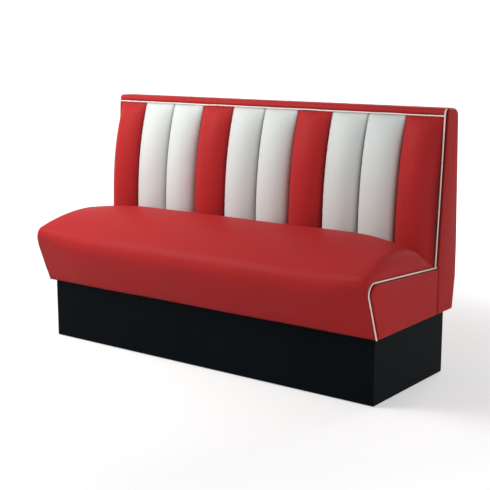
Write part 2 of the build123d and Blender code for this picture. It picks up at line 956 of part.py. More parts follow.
def back_outside_cover():
    """The red cover of the rear of the back."""
    high = height - rear_seam_drop - touch_gap / 2
    zone = half_plane(rear_y - 2 * rear_top_setback, rear_y + overrun, plinth_height - overrun, high)
    return along_x(back_skin_ring() & zone, -cover_half, cover_half)


def back_side_panel():
    """The flat panel on the right end of the back."""
    step_z = end_rear_z + piping_radius + panel_gap
    upper = half_plane(front_y, rear_y, step_z, height)
    lower = half_plane(seam_y + panel_gap / 2, rear_y, plinth_height, step_z)
    face = back_outline(panel_inset) & (upper + lower)
    return along_x(face, panel_inner_x, panel_outer_x)


def back_piping():
    """Piping up the front of the right side panel of the back and over its top corner."""
    lean = math.atan(back_slope)
    start_z = end_rear_z + 2 * piping_radius - piping_sink + touch_gap
    reach = top_front_radius * math.tan((math.pi / 2 - lean) / 2)
    centre_y = back_front_y(height) + reach
    centre_z = height - top_front_radius
    radius = top_front_radius - piping_sink

    def corner(turn):
        return (piping_x, centre_y - radius * math.cos(turn), centre_z + radius * math.sin(turn))

    first_turn = lean
    last_turn = math.radians(piping_end_turn)
    low = (piping_x, back_front_y(start_z) + piping_sink / math.cos(lean), start_z)
    return piping_along(
        [
            Edge.make_line(low, corner(first_turn)),
            Edge.make_three_point_arc(
                corner(first_turn), corner((first_turn + last_turn) / 2), corner(last_turn)
            ),
        ]
    )


def back_top_piping():
    """Piping along the seam between the channels and the top band."""
    y = back_front_y(top_seam_z) + touch_gap
    return rod((-cover_half, y, top_seam_z), (1, 0, 0), 2 * cover_half, piping_radius)


def dust_cloths():
    """Black cloth under the seat and under the back."""
    seat_front = front_board_y(plinth_height, apron_foam)
    seat = block(
        (-frame_half, seat_front, plinth_height), (frame_half, seam_y - skin - touch_gap, frame_low)
    )
    back = block(
        (-frame_half, seam_y + touch_gap, plinth_height),
        (frame_half, rear_y - rear_low_setback - 2 * skin, frame_low),
    )
    return [seat, back]


# The whole bench


def drilled(piece, bores):
    """A piece, or each piece of a group, with the bores cut out."""
    if isinstance(piece, list):
        return [drilled(one, bores) for one in piece]
    return piece - bores


def booth_pieces():
    """Every named piece of the bench."""
    pieces = plinth_pieces()
    pieces |= seat_frame_pieces()
    pieces |= back_frame_pieces()
    pieces["dust_cloths"] = dust_cloths()
    bored_by_screws = [
        "plinth_front_board",
        "plinth_back_board",
        "plinth_left_board",
        "plinth_right_board",
        "plinth_battens",
        "plinth_corner_blocks",
        "seat_front_low_rail",
        "back_low_rail",
        "dust_cloths",
    ]
    bores = screw_bores()
    for name in bored_by_screws:
        pieces[name] = drilled(pieces[name], bores)
    pieces["seat_cover"] = seat_cover()
    for name in ("seat_back_rail", "seat_cover", "back_lower_board"):
        pieces[name] = drilled(pieces[name], bolt_bores())
    pieces["back_lower_board"] = drilled(pieces["back_lower_board"], tee_bores())
    pieces |= {
        "floor_glides": floor_glides(),
        "wood_screws": screws(),
        "seat_springs": seat_springs(),
        "spring_clips": spring_clips(),
        "seat_spring_felt": spring_felt(),
        "seat_foam": seat_foam(),
        "seat_side_panel_left": mirrored(seat_side_panel()),
        "seat_side_panel_right": seat_side_panel(),
        "seat_piping_left": mirrored(seat_piping()),
        "seat_piping_right": seat_piping(),
        "joining_bolts": joining_bolts(),
        "bolt_washers": bolt_washers(),
        "tee_nuts": tee_nuts(),
        "back_channel_foam": channel_copies(channel_core),
        "back_top_foam": back_top_foam(),
        "back_top_band": back_top_band(),
        "back_outside_cover": back_outside_cover(),
        "back_side_panel_left": mirrored(back_side_panel()),
        "back_side_panel_right": back_side_panel(),
        "back_piping_left": mirrored(back_piping()),
        "back_piping_right": back_piping(),
        "back_top_piping": back_top_piping(),
    }
    for channel, strip in enumerate(channel_copies(channel_strip)):
        colour = "white" if channel in white_channels else "red"
        pieces[f"back_channel_{channel + 1:02d}_{colour}"] = strip
    return pieces


def write_pieces(pieces):
    """Writes each named piece, or group of like pieces, as a STEP file."""
    os.makedirs("parts", exist_ok=True)
    for name, piece in pieces.items():
        solids = []
        for one in piece if isinstance(piece, list) else [piece]:
            solids += one.solids()
        shape = solids[0] if len(solids) == 1 else Compound(children=solids)
        export_step(shape, f"parts/{name}.step")


write_pieces(booth_pieces())
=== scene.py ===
"""Upholstery, piping, boards and finishes of a diner booth bench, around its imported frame.

X runs along the bench, -Y is the front and Z is up. Lengths are metres."""

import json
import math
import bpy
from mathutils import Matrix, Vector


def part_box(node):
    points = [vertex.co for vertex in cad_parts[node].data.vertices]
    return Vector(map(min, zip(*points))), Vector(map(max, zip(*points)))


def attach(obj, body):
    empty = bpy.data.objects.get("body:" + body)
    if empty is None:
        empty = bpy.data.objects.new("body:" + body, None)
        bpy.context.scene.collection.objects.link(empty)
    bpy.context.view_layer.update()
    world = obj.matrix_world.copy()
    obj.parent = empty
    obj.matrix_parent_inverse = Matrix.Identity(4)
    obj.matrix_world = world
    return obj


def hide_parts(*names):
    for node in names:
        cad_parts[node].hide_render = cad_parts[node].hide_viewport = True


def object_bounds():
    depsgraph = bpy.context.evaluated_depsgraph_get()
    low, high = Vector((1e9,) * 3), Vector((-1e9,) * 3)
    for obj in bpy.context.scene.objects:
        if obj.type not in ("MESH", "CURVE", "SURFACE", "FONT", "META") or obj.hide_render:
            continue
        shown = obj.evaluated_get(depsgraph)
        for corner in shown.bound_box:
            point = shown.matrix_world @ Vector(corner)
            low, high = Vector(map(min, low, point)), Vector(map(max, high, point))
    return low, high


bl_info = {
    "name": "Diner Booth Bench",
    "version": (1, 0, 0),
    "blender": (4, 5, 0),
    "location": "View3D > Sidebar > Booth",
    "description": "Upholstery, piping, boards and finishes of a diner booth bench",
    "category": "Object",
}

import bpy
import numpy as np
from bpy.props import FloatProperty, FloatVectorProperty, PointerProperty
from mathutils import Vector

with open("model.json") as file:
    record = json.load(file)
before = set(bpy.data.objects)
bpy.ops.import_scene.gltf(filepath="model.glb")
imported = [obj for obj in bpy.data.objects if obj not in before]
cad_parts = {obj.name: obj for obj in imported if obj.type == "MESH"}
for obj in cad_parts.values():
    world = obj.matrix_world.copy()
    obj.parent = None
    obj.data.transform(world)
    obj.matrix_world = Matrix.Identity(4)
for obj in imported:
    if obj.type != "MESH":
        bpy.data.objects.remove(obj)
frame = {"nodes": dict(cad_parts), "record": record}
cad_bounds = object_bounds()

# Places that the frame gives
seat_low, seat_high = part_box("seat_cover")
roll_low, roll_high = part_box("back_channel_foam")

cover_half = seat_high.x
front_y = seat_low.y
seam_y = seat_high.y
seat_bottom = seat_low.z
rear_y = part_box("back_outside_cover")[1].y
top_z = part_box("back_top_band")[1].z
bench_half = cad_bounds[1].x
channel_count = 10


def linear(hex_colour):
    """A colour written as an sRGB hex value, as the linear colour that nodes take."""
    shares = np.array([int(hex_colour[k : k + 2], 16) for k in (1, 3, 5)]) / 255
    low = shares / 12.92
    high = ((shares + 0.055) / 1.055) ** 2.4
    return (*np.where(shares <= 0.04045, low, high).tolist(), 1.0)


# Sizes and colours that a user would change


def length(name, text, default):
    """A length in metres, as a property."""
    return FloatProperty(name=name, description=text, default=default, unit="LENGTH", precision=4)


def number(name, text, default):
    """A plain number, as a property."""
    return FloatProperty(name=name, description=text, default=default, precision=3)


def angle(name, text, degrees):
    """An angle, as a property."""
    return FloatProperty(name=name, description=text, default=math.radians(degrees), unit="ROTATION")


def colour(name, text, hex_colour):
    """A colour, as a property."""
    return FloatVectorProperty(
        name=name, description=text, default=linear(hex_colour)[:3], subtype="COLOR", min=0, max=1
    )


class SeatSizes(bpy.types.PropertyGroup):
    """Sizes of the crowned seat"""

    skin: length("Cover thickness", "Thickness of the vinyl", 0.0015)
    ledge_rise: length("Ledge rise", "Seat height behind the crown, above its underside", 0.169)
    edge_setback: length("Edge setback", "Bottom front edge behind the frontmost place", 0.071)
    front_lean: length("Front lean", "How far the front leans forward at the ends", 0.072)
    front_lift: length("Front lift", "Front corner of the ends above the ledge", 0.027)
    rear_lift: length("Rear lift", "Rear of the end's top edge above the ledge", 0.001)
    end_radius: length("End nose radius", "Rounding of the front top corner at the ends", 0.033)
    crown_reach: length("Crown reach", "Distance from the ends at which the crown is full", 0.280)
    crown_rise: length("Crown rise", "Middle of the crown above the ends", 0.106)
    crown_bow: length("Crown bow", "Bulge of the line from nose to crown", 0.021)
    peak_setback: length("Peak setback", "Crown in front of the channels", 0.039)
    front_bow: length("Front bow", "Bulge of the front", 0.0075)
    nose_radius: length("Nose radius", "Rounding of the front top at the middle", 0.065)
    nose_drop: length("Nose drop", "Centre of that rounding below the ledge", 0.013)
    front_normal: angle("Front normal", "Where the nose starts, from +Y towards +Z", 195)
    top_normal: angle("Top normal", "Where the nose ends", 117)
    roll_drop: length("Roll drop", "Fall behind the crown", 0.040)
    roll_bow: length("Roll bow", "Bulge of that fall", 0.0097)
    shoulder_width: length("Shoulder width", "Steep rounding just inside the ends", 0.052)
    shoulder_power: number("Shoulder power", "How soon the shoulders round over", 3.2)
    shoulder_rise: length("Shoulder rise", "Top of the shoulders above the ends", 0.084)
    shoulder_bow: length("Shoulder bow", "Bulge of the shoulders' top line", 0.0105)
    shoulder_setback: length("Shoulder setback", "Shoulders' top in front of the channels", 0.157)
    shoulder_radius: length("Shoulder nose radius", "Rounding of the shoulders' front top", 0.026)
    shoulder_lift: length("Shoulder nose lift", "Centre of that rounding above the ledge", 0.032)
    shoulder_normal: angle("Shoulder top normal", "Where the shoulders' nose ends", 122)
    shoulder_drop: length("Shoulder drop", "Fall behind the shoulders' top", 0.042)
    shoulder_roll: length("Shoulder roll bow", "Bulge of that fall", 0.012)
    shoulder_swell: length("Shoulder swell", "How far the shoulders bulge out towards the ends", 0.010)
    corner_setback: length("Corner setback", "How far the rear corners follow the channels back", 0.058)
    corner_power: number("Corner power", "How late the rear corners turn back", 4)
    corner_fade: number("Corner fade", "Share of their height that the rear corners lose", 0.4)
    flattest_share: number("Flattest share", "Least share of each bulge", 0.03)
    pucker: length("Pucker height", "Gathers where the cover is sewn to the piping", 0.0006)
    slack: length("Slack", "Gentle unevenness of the foam under the cover", 0.0006)


class BackSizes(bpy.types.PropertyGroup):
    """Sizes of the channelled back"""

    front_low: length("Front low", "Side's front line at the ledge, before the rear", 0.146)
    front_top: length("Front top", "Side's front line at the top seam, before the rear", 0.111)
    seam_drop: length("Seam drop", "Top seam below the top", 0.0255)
    front_radius: length("Front radius", "Rounding of the top front corner", 0.018)
    rear_radius: length("Rear radius", "Rounding of the top rear corner", 0.030)
    rear_top: length("Rear top", "Top rear corner before the rear", 0.022)
    rear_low: length("Rear low", "Bottom rear corner before the rear", 0.016)
    belly_low: length("Belly low", "Lower end of the upright rear, above the underside", 0.119)
    belly_high: length("Belly high", "Upper end of the upright rear, above the underside", 0.226)
    rear_seam: length("Rear seam", "Seam between band and outside cover below the top", 0.040)
    valley_low: length("Valley low", "Sewn lines at the ledge, before the rear", 0.172)
    valley_top: length("Valley top", "Sewn lines at the top seam, before the rear", 0.109)
    valley_power: number("Valley power", "How late the sewn lines bend back", 2.7)
    rise: length("Channel rise", "How far each channel stands out of its sewn lines", 0.042)
    fade_power: number("Fade power", "How suddenly the channels fade at the top", 6)
    edge_tuck: length("Edge tuck", "Outer channels' edges behind the side's front line", 0.003)
    flange: length("Flange", "Sewn edge of each channel behind its valley", 0.010)
    gather: length("Gather height", "Gathers below the top seam", 0.0009)
    pull: length("Pull height", "Dimples along the sewn lines", 0.0005)


class TrimSizes(bpy.types.PropertyGroup):
    """Sizes of the piping and the padded ends"""

    piping_radius: length("Piping radius", "Radius of the piping", 0.0027)
    piping_sink: length("Piping sink", "Piping's centre inside the cover's outline", 0.001)
    panel_rise: length("Panel rise", "How far the end panels' padding stands out", 0.0115)
    panel_edge: length("Panel edge", "Width of the rounding round each end panel", 0.0065)
    panel_inset: length("Panel inset", "End panels inside the piping", 0.0042)
    panel_groove: length("Panel groove", "Front edge of the back's end panels behind the piping", 0.0068)
    panel_dome: length("Panel dome", "Crown of the end panels", 0.0026)
    panel_ripple: length("Panel ripple", "Unevenness of the end panels", 0.0003)


class BenchColours(bpy.types.PropertyGroup):
    """Colours of the finishes"""

    red: colour("Red vinyl", "Red upholstery vinyl", "#BA2F30")
    white: colour("White vinyl", "White upholstery vinyl", "#E3E8E5")
    piping: colour("Piping", "Cream vinyl-covered piping", "#FFECE2")
    black: colour("Black laminate", "Black melamine-faced board", "#0E1317")


class StageSettings(bpy.types.PropertyGroup):
    """Floor, lights and camera"""

    key_power: number("Key power", "Watts of the soft light above the left front", 27)
    second_power: number("Second power", "Watts of the soft light nearer the middle", 18)
    side_power: number("Side power", "Watts of the low light on the right", 17)
    rear_power: number("Rear power", "Watts of the soft light behind the bench", 45)
    world_level: number("World level", "Even light from all round", 0.2)
    floor_near: number("Floor near", "Extra white of the floor beside the bench", 0.41)
    floor_far: number("Floor far", "Extra white of the floor far away", 1.0)
    lens: number("Lens", "Focal length in millimetres", 79.49)


# Mesh making

# Edges that turn by more than this stay crisp
crisp_degrees = 48
# Keeps the normal of a cell without width from a division by zero
least_length = 1e-12


def surface_normals(points):
    """Unit normals of a grid: its row direction crossed with its column direction."""
    normals = np.cross(np.gradient(points, axis=0), np.gradient(points, axis=1))
    return normals / np.maximum(np.linalg.norm(normals, axis=-1, keepdims=True), least_length)


def facing_out(points, inside, *values):
    """The grid and values on it, turned over if its faces point towards a place inside the piece."""
    outward = np.sum(surface_normals(points) * (points - np.array(inside)))
    return [grid if outward > 0 else grid[:, ::-1] for grid in (points, *values)]


def grid_quads(index):
    """Four corners of each cell of a grid of vertex numbers."""
    corners = index[:-1, :-1], index[1:, :-1], index[1:, 1:], index[:-1, 1:]
    return np.stack(corners, -1).reshape(-1, 4)


def make_mesh(name, vertices, faces, sharp_degrees=crisp_degrees):
    """A smooth-shaded mesh, with edges sharper than an angle left crisp."""
    mesh = bpy.data.meshes.new(name)
    mesh.from_pydata(np.asarray(vertices).reshape(-1, 3).tolist(), [], faces)
    mesh.shade_smooth()
    mesh.set_sharp_from_angle(angle=math.radians(sharp_degrees))
    mesh.update()
    return mesh


def shell_mesh(name, outer, thickness):
    """A closed sheet: the grid, the same grid moved inwards along its normals, and a rim."""
    rows, columns = outer.shape[:2]
    inner = outer - surface_normals(outer) * thickness
    front = np.arange(rows * columns).reshape(rows, columns)
    back = front + rows * columns
    rims = [
        np.stack([front[0], back[0]]),
        np.stack([back[-1], front[-1]]),
        np.stack([back[:, 0], front[:, 0]]),
        np.stack([front[:, -1], back[:, -1]]),
    ]
    faces = [grid_quads(front), grid_quads(back)[:, ::-1]] + [grid_quads(rim) for rim in rims]
    return make_mesh(name, np.stack([outer, inner]), np.concatenate(faces).tolist())


def closed_solid(rings):
    """Vertices, quads and end fans of a solid: rings of points joined one to the next.

    Its volume is a sixth of the sum of a . (b x c) over its triangles. Where that is below zero, the
    faces are turned over."""
    rows, columns = rings.shape[:2]
    ring = np.arange(rows * columns).reshape(rows, columns)
    ring = np.concatenate([ring, ring[:, :1]], axis=1)
    first = np.full(columns, rows * columns)
    low_fan = np.stack([ring[0, 1:], ring[0, :-1], first], -1)
    high_fan = np.stack([ring[-1, :-1], ring[-1, 1:], first + 1], -1)
    quads, fans = grid_quads(ring)[:, ::-1], np.concatenate([low_fan, high_fan])
    vertices = np.concatenate([rings.reshape(-1, 3), [rings[0].mean(0), rings[-1].mean(0)]])
    triangles = np.concatenate([quads[:, :3], quads[:, [0, 2, 3]], fans])
    a, b, c = vertices[triangles].transpose(1, 0, 2)
    if np.sum(a * np.cross(b, c)) < 0:
        quads, fans = quads[:, ::-1], fans[:, ::-1]
    return vertices, quads, fans


def closed_mesh(name, *solids, sharp_degrees=crisp_degrees):
    """One mesh of closed solids, each given as its rings, with their vertices numbered on and on."""
    parts = [closed_solid(rings) for rings in solids]
    starts = np.cumsum([0] + [len(vertices) for vertices, quads, fans in parts])
    faces = []
    for start, (vertices, quads, fans) in zip(starts, parts):
        faces += (quads + start).tolist() + (fans + start).tolist()
    vertices = np.concatenate([vertices for vertices, quads, fans in parts])
    return make_mesh(name, vertices, faces, sharp_degrees)


def add_piece(name, mesh, slot, stands_for):
    """Puts a finished mesh in the scene as a piece of the bench, in place of nodes of the frame."""
    piece = bpy.data.objects.new(name, mesh)
    bpy.context.scene.collection.objects.link(piece)
    mesh.materials.append(finish_of(slot))
    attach(piece, "root")
    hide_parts(*stands_for)
    return piece


def store_seam_shade(piece, nearness):
    """Stores how near each vertex is to a seam, 1 at the seam, for the vinyl to darken by as painted
    shade.

    The inner face of a sheet repeats the values of its outer one."""
    values = np.resize(nearness.ravel(), len(piece.data.vertices)).astype(np.float32)
    layer = piece.data.attributes.new("seam", "FLOAT", "POINT")
    layer.data.foreach_set("value", values)


# Curves and small irregularities


def blend(start, end, share):
    """The value that lies a share of the way from start to end."""
    return start + (end - start) * share


def bowed(start, end, bow, shares):
    """Points of arcs from start to end whose middles stand bow to the left of their chords."""
    chord = end - start
    span = np.linalg.norm(chord, axis=-1, keepdims=True)
    along = chord / span
    left = np.stack([-along[..., 1], along[..., 0]], -1)
    bow = np.asarray(bow)[..., None]
    radius = ((span / 2) ** 2 + bow**2) / (2 * bow)
    turn = (2 * shares - 1) * np.arcsin(span / 2 / radius)
    ahead = radius * np.sin(turn)
    out = radius * np.cos(turn) - (radius - bow)
    forwards = ahead[..., None] * along[..., None, :]
    sideways = out[..., None] * left[..., None, :]
    return (start + end)[..., None, :] / 2 + forwards + sideways


def straight(start, end, shares):
    """Points of lines from start to end."""
    return start[..., None, :] + (end - start)[..., None, :] * shares[:, None]


# Each wave of a ripple: its turns against the first one's, its shift for each unit of seed, its height
ripple_waves = ((1, 1, 1), (0.61, 2.3, 0.7), (1.73, 1.1, 0.45))


def ripple(place, pitch, seed):
    """Uneven puckers along a seam, from -1 to 1: three sines of unlike pitches, added."""
    turns = math.tau * place / pitch
    waves = [height * np.sin(turns * rate + shift * seed) for rate, shift, height in ripple_waves]
    return sum(waves) / sum(height for rate, shift, height in ripple_waves)


def eased(share):
    """From 0 to 1 with a level start and end: 3 s squared less 2 s cubed."""
    share = np.clip(share, 0, 1)
    return share * share * (3 - 2 * share)


# The seat's shape

# Points along each stretch of a section, from the bottom front edge to the seam at the rear
front_steps, nose_steps, crown_steps, roll_steps, wall_steps, ledge_steps = 34, 26, 70, 20, 8, 8
smoothing_passes = 10
# Sections along the bench, and the foam's point for every so many of the cover's
cover_stations, foam_stations, foam_point_step = 221, 81, 2
# Clearance between channels and seat, and between covers and foam
wall_gap, foam_gap = 0.0003, 0.0004


def end_line_z(y, seat, back):
    """Height of the straight top edge of the seat's ends."""
    corner_y = front_y + seat.edge_setback - seat.front_lean
    slope = (seat.rear_lift - seat.front_lift) / (rear_y - back.front_low - corner_y)
    return seat_bottom + seat.ledge_rise + seat.front_lift + (y - corner_y) * slope


def end_nose(seat, back):
    """Centre of the end's nose rounding, and the angles at which it starts and ends."""
    corner_y = front_y + seat.edge_setback - seat.front_lean
    corner_z = seat_bottom + seat.ledge_rise + seat.front_lift
    front_slope = seat.front_lean / (corner_z - seat_bottom)
    top_slope = end_line_z(1, seat, back) - end_line_z(0, seat, back)
    front_turn = math.atan2(-front_slope, -1) % math.tau
    top_turn = math.atan2(1, -top_slope)
    reach = seat.end_radius / math.cos((front_turn - top_turn) / 2)
    middle = (front_turn + top_turn) / 2
    centre = corner_y - reach * math.cos(middle), corner_z - reach * math.sin(middle)
    return centre, front_turn, top_turn


def risen_and_crowned(x, end_inset, seat):
    """How far the seat has risen from its ends, the root of 1 less a power of the way left over the
    shoulder's width, and how near it is to its middle profile, a parabola over the crown's reach."""
    risen = np.clip((cover_half - np.abs(x) - end_inset) / seat.shoulder_width, 0, 1)
    crowned = np.clip((cover_half - np.abs(x)) / seat.crown_reach, 0, 1)
    return np.sqrt(1 - (1 - risen) ** seat.shoulder_power), 1 - (1 - crowned) ** 2


def seat_sections(x, inset, end_inset, seat, back):
    """Sections over the seat: front bow, nose arc, crown arc, roll arc, wall and ledge.

    Each size is a blend from the end's value to the shoulder's by how far the seat has risen, where
    the shoulder's value itself blends to the middle's by how far it is crowned."""
    risen, crowned = risen_and_crowned(x, end_inset, seat)
    outer_crest = bench_half - bench_half / channel_count
    corner = np.clip((np.abs(x) - outer_crest) / (cover_half - outer_crest), 0, 1) ** seat.corner_power
    bulge = np.maximum(risen, seat.flattest_share)
    (end_y, end_z), end_front, end_top = end_nose(seat, back)
    ledge = seat_bottom + seat.ledge_rise

    def profile(end, shoulder, middle):
        """A size of the ends, blended to the shoulders' and the middle's."""
        return blend(end, blend(shoulder, middle, crowned), risen)

    wall = rear_y - back.valley_low - back.rise - wall_gap
    peak_y = wall - blend(seat.shoulder_setback, seat.peak_setback, crowned)
    wall_y = wall + seat.corner_setback * corner
    full_radius = blend(seat.shoulder_radius, seat.nose_radius, crowned)
    radius = blend(seat.end_radius, full_radius, risen) - inset
    centre_y = blend(end_y, front_y + full_radius, risen)
    centre_z = profile(end_z, ledge + seat.shoulder_lift, ledge - seat.nose_drop)
    front_turn = blend(end_front, seat.front_normal, risen)
    top_turn = profile(end_top, seat.shoulder_normal, seat.top_normal)
    peak_z = end_line_z(peak_y, seat, back) + profile(0, seat.shoulder_rise, seat.crown_rise) - inset
    roll_rise_here = profile(0, seat.shoulder_rise - seat.shoulder_drop, seat.crown_rise - seat.roll_drop)
    roll_z = end_line_z(wall_y, seat, back) + roll_rise_here * (1 - seat.corner_fade * corner)

    turns = blend(front_turn[:, None], top_turn[:, None], np.linspace(0, 1, nose_steps))
    nose_y = centre_y[:, None] + radius[:, None] * np.cos(turns)
    nose_z = centre_z[:, None] + radius[:, None] * np.sin(turns)
    nose = np.stack([nose_y, nose_z], -1)

    def place(y, z):
        """One point of every section."""
        return np.stack(np.broadcast_arrays(y + 0 * x, z + 0 * x), -1)

    edge = place(front_y + seat.edge_setback + inset, seat_bottom)
    peak = place(peak_y, peak_z)
    roll = place(wall_y - inset, roll_z - inset * (1 - risen))
    foot = place(wall_y - inset, ledge - inset)
    heel = place(seam_y - inset, ledge - inset)
    front_bulge = seat.front_bow * np.maximum(risen * crowned, seat.flattest_share)
    crown_bulge = blend(seat.shoulder_bow, seat.crown_bow, crowned) * bulge
    roll_bulge = blend(seat.shoulder_roll, seat.roll_bow, crowned) * bulge
    front = bowed(edge, nose[:, 0], front_bulge, np.linspace(0, 1, front_steps))
    crown = bowed(nose[:, -1], peak, crown_bulge, np.linspace(0, 1, crown_steps))
    roll_arc = bowed(peak, roll, roll_bulge, np.linspace(0, 1, roll_steps))
    wall_line = straight(roll, foot, np.linspace(0, 1, wall_steps))
    ledge_line = straight(foot, heel, np.linspace(0, 1, ledge_steps))
    rounded = np.concatenate([front, nose[:, 1:], crown[:, 1:], roll_arc[:, 1:]], axis=1)
    rounded = relaxed(rounded, smoothing_passes)
    return np.concatenate([rounded, wall_line[:, 1:], ledge_line[:, 1:]], axis=1)


def relaxed(sections, passes):
    """Each inner point made half of itself and a quarter of each neighbour, some times over."""
    sections = sections.copy()
    for _ in range(passes):
        sections[:, 1:-1] = (sections[:, :-2] + 2 * sections[:, 1:-1] + sections[:, 2:]) / 4
    return sections


def seat_stations(count, half):
    """Places along the bench, closer together towards its ends, as a sine spreads them."""
    return half * np.sin(np.linspace(-math.pi / 2, math.pi / 2, count))


def with_x(x, sections):
    """Sections of (y, z) given their places along X."""
    along = np.broadcast_to(x[:, None, None], sections.shape[:2] + (1,))
    return np.concatenate([along, sections], -1)


def shoulder_bulge(points, to_end, seat):
    """How far the shoulders bulge out: the sine of half a turn over their width, where the seat stands
    well above its ends, fading towards the rear seam."""
    full_lift, seam_gap, seam_fade = 0.05, 0.01, 0.13
    shoulder = np.argmin(np.abs(to_end - seat.shoulder_width))
    lift = np.linalg.norm(points[shoulder, :, 1:] - points[0, :, 1:], axis=-1)
    over_width = np.clip(to_end / seat.shoulder_width, 0, 1)
    swell = seat.shoulder_swell * np.sin(math.pi * np.sqrt(over_width)) * eased(lift / full_lift)
    return swell * eased((seam_y - seam_gap - points[..., 1]) / seam_fade)


def seat_surface(seat, back):
    """Outside of the seat's cover and its nearness to seams: its sections along the bench, gathered
    near the ends' piping by exponentials of the distance to it, and slack in a slow wave elsewhere."""
    pucker_reach, pucker_start, pucker_pitch, pucker_seed = 0.03, 0.005, 0.034, 1.3
    slack_along, slack_across, slack_start = 11, 6, 0.15
    piping_shade, hem_shade = 0.004, 0.003
    x = seat_stations(cover_stations, cover_half)
    points = with_x(x, seat_sections(x, 0, 0, seat, back))
    to_end = (cover_half - np.abs(x))[:, None]
    side = np.sign(x)[:, None]
    points[..., 0] += side * shoulder_bulge(points, to_end, seat)
    run = distances(points, 1)
    from_end = distances(points, 0)
    to_piping = np.minimum(from_end, from_end[-1] - from_end)
    fade = np.exp(-to_piping / pucker_reach) * (1 - np.exp(-to_piping / pucker_start))
    puckers = seat.pucker * fade * ripple(run, pucker_pitch, pucker_seed + side)
    wave = np.sin(x[:, None] * slack_along + run * slack_across)
    slack = seat.slack * wave * eased(to_end / slack_start)
    points = points + surface_normals(points) * (puckers + slack)[..., None]
    # Painted shade: darker near the ends' piping and the front hem, by exponentials of the distance
    nearness = np.exp(-to_piping / piping_shade) + np.exp(-run / hem_shade)
    return points, np.clip(nearness, 0, 1)


def seat_foam_rings(seat, back):
    """The seat's foam, as rings along the bench: the cover's sections drawn in by its thickness, closed
    by the level top of the frame and by the sloping face of the front board."""
    side_gap, frame_foam, apron_foam = 0.0014, 0.024, 0.0095
    inset = seat.skin + foam_gap
    x = seat_stations(foam_stations, cover_half - side_gap)
    foam = with_x(x, seat_sections(x, inset, inset + side_gap, seat, back)[:, ::foam_point_step])
    under = foam.copy()
    slope = seat.front_lean / (seat.ledge_rise + seat.front_lift)
    low_z = seat_bottom + seat.ledge_rise - frame_foam
    under[..., 2] = np.minimum(low_z, foam[..., 2] - inset)
    board_y = front_y + seat.edge_setback + apron_foam - (under[..., 2] - seat_bottom) * slope
    under[..., 1] = np.maximum(foam[..., 1], board_y)
    return np.concatenate([foam, under[:, ::-1]], axis=1)


def distances(points, axis):
    """Lengths along the rows or columns of a grid, from the first point on."""
    steps = np.linalg.norm(np.diff(points, axis=axis), axis=-1)
    edge = np.zeros_like(np.take(steps, [0], axis=axis))
    return np.concatenate([edge, np.cumsum(steps, axis=axis)], axis=axis)


# The back's shape


def height_share(z):
    """How far up the channels a height is."""
    return np.clip((z - roll_low.z) / (roll_high.z - roll_low.z), 0, 1)


def side_front_y(z, seat, back):
    """Y of the straight front line of the back's sides."""
    ledge = seat_bottom + seat.ledge_rise
    slope = (back.front_low - back.front_top) / (top_z - back.seam_drop - ledge)
    return rear_y - back.front_low + (z - ledge) * slope


def valley_y(z, back):
    """Y of the sewn lines, bending back as a power of the height."""
    share = height_share(z) ** back.valley_power
    return blend(rear_y - back.valley_low, rear_y - back.valley_top, share)


def roll_rise(z, back):
    """How far channels stand out: the root of 1 less a power of the height."""
    least_share = 0.03
    fade = np.sqrt(1 - height_share(z) ** back.fade_power)
    return back.rise * np.maximum(fade, least_share)


def half_roll(share, half, rise):
    """Depth behind the crest of a circle's arc that falls by rise over half, at shares of that half."""
    radius = (half**2 + rise**2) / (2 * rise)
    return radius - np.sqrt(np.maximum(radius**2 - (share * half) ** 2, 0))


def channel_surface(low_x, high_x, outer_side, inset, seat, back):
    """Front of a channel: rows up its height, closer together at the top by a power, and columns across,
    spread as a sine spreads them, each row an arc that falls from its crest to its edges."""
    rows, columns, crowding = 110, 45, 1.6
    steps = np.linspace(0, 1, rows)
    z = blend(roll_low.z, roll_high.z, 1 - (1 - steps) ** crowding)[:, None]
    across = np.sin(np.linspace(-math.pi / 2, math.pi / 2, columns))[None, :]
    middle, half = (low_x + high_x) / 2, (high_x - low_x) / 2
    rise = roll_rise(z, back)
    crest_y = valley_y(z, back) - rise
    depth = half_roll(np.abs(across), half, rise)
    if outer_side:
        drop = np.minimum(side_front_y(z, seat, back) + back.edge_tuck - crest_y, half)
        depth = np.where(across * outer_side > 0, half_roll(np.abs(across), half, drop), depth)
    x = middle + across * (half - inset) + 0 * z
    y = crest_y + depth + inset
    return np.stack(np.broadcast_arrays(x, y, z + 0 * across), -1)


def channel_cover(low_x, high_x, outer_side, number_here, seat, back):
    """Outside of one channel's cover and its nearness to seams, with its sewn edges turned in.

    Ripples below the top seam and along the sewn lines fade as exponentials of the distance."""
    gather_reach, gather_start, gather_pitch, gather_seed = 0.035, 0.012, 0.021, 0.9
    pull_reach, pull_pitch, pull_seed = 0.012, 0.029, 1.7
    edge_shade, seam_shade, seam_share = 0.0035, 0.003, 0.8
    points = channel_surface(low_x, high_x, outer_side, 0, seat, back)
    x, z = points[..., 0], points[..., 2]
    from_top = roll_high.z - z
    width = high_x - low_x
    across = (x - low_x) / width
    to_edge = np.minimum(across, 1 - across) * width
    gathers = back.gather * np.exp(-from_top / gather_reach) * eased(from_top / gather_start)
    gathers = gathers * ripple(x, gather_pitch, gather_seed * number_here) * eased(to_edge / gather_start)
    pulls = back.pull * np.exp(-to_edge / pull_reach) * ripple(z, pull_pitch, pull_seed * number_here)
    # Painted shade along the sewn lines and below the top seam
    nearness = np.exp(-to_edge / edge_shade) + seam_share * np.exp(-from_top / seam_shade)
    inside = (low_x + high_x) / 2, rear_y, (roll_low.z + roll_high.z) / 2
    points, bumps, nearness = facing_out(points, inside, gathers + pulls, nearness)
    points = points + surface_normals(points) * bumps[..., None]
    tuck = np.array([0, back.flange, 0])
    points = np.concatenate([points[:, :1] + tuck, points, points[:, -1:] + tuck], axis=1)
    nearness = np.concatenate([nearness[:, :1], nearness, nearness[:, -1:]], axis=1)
    return points, np.clip(nearness, 0, 1)


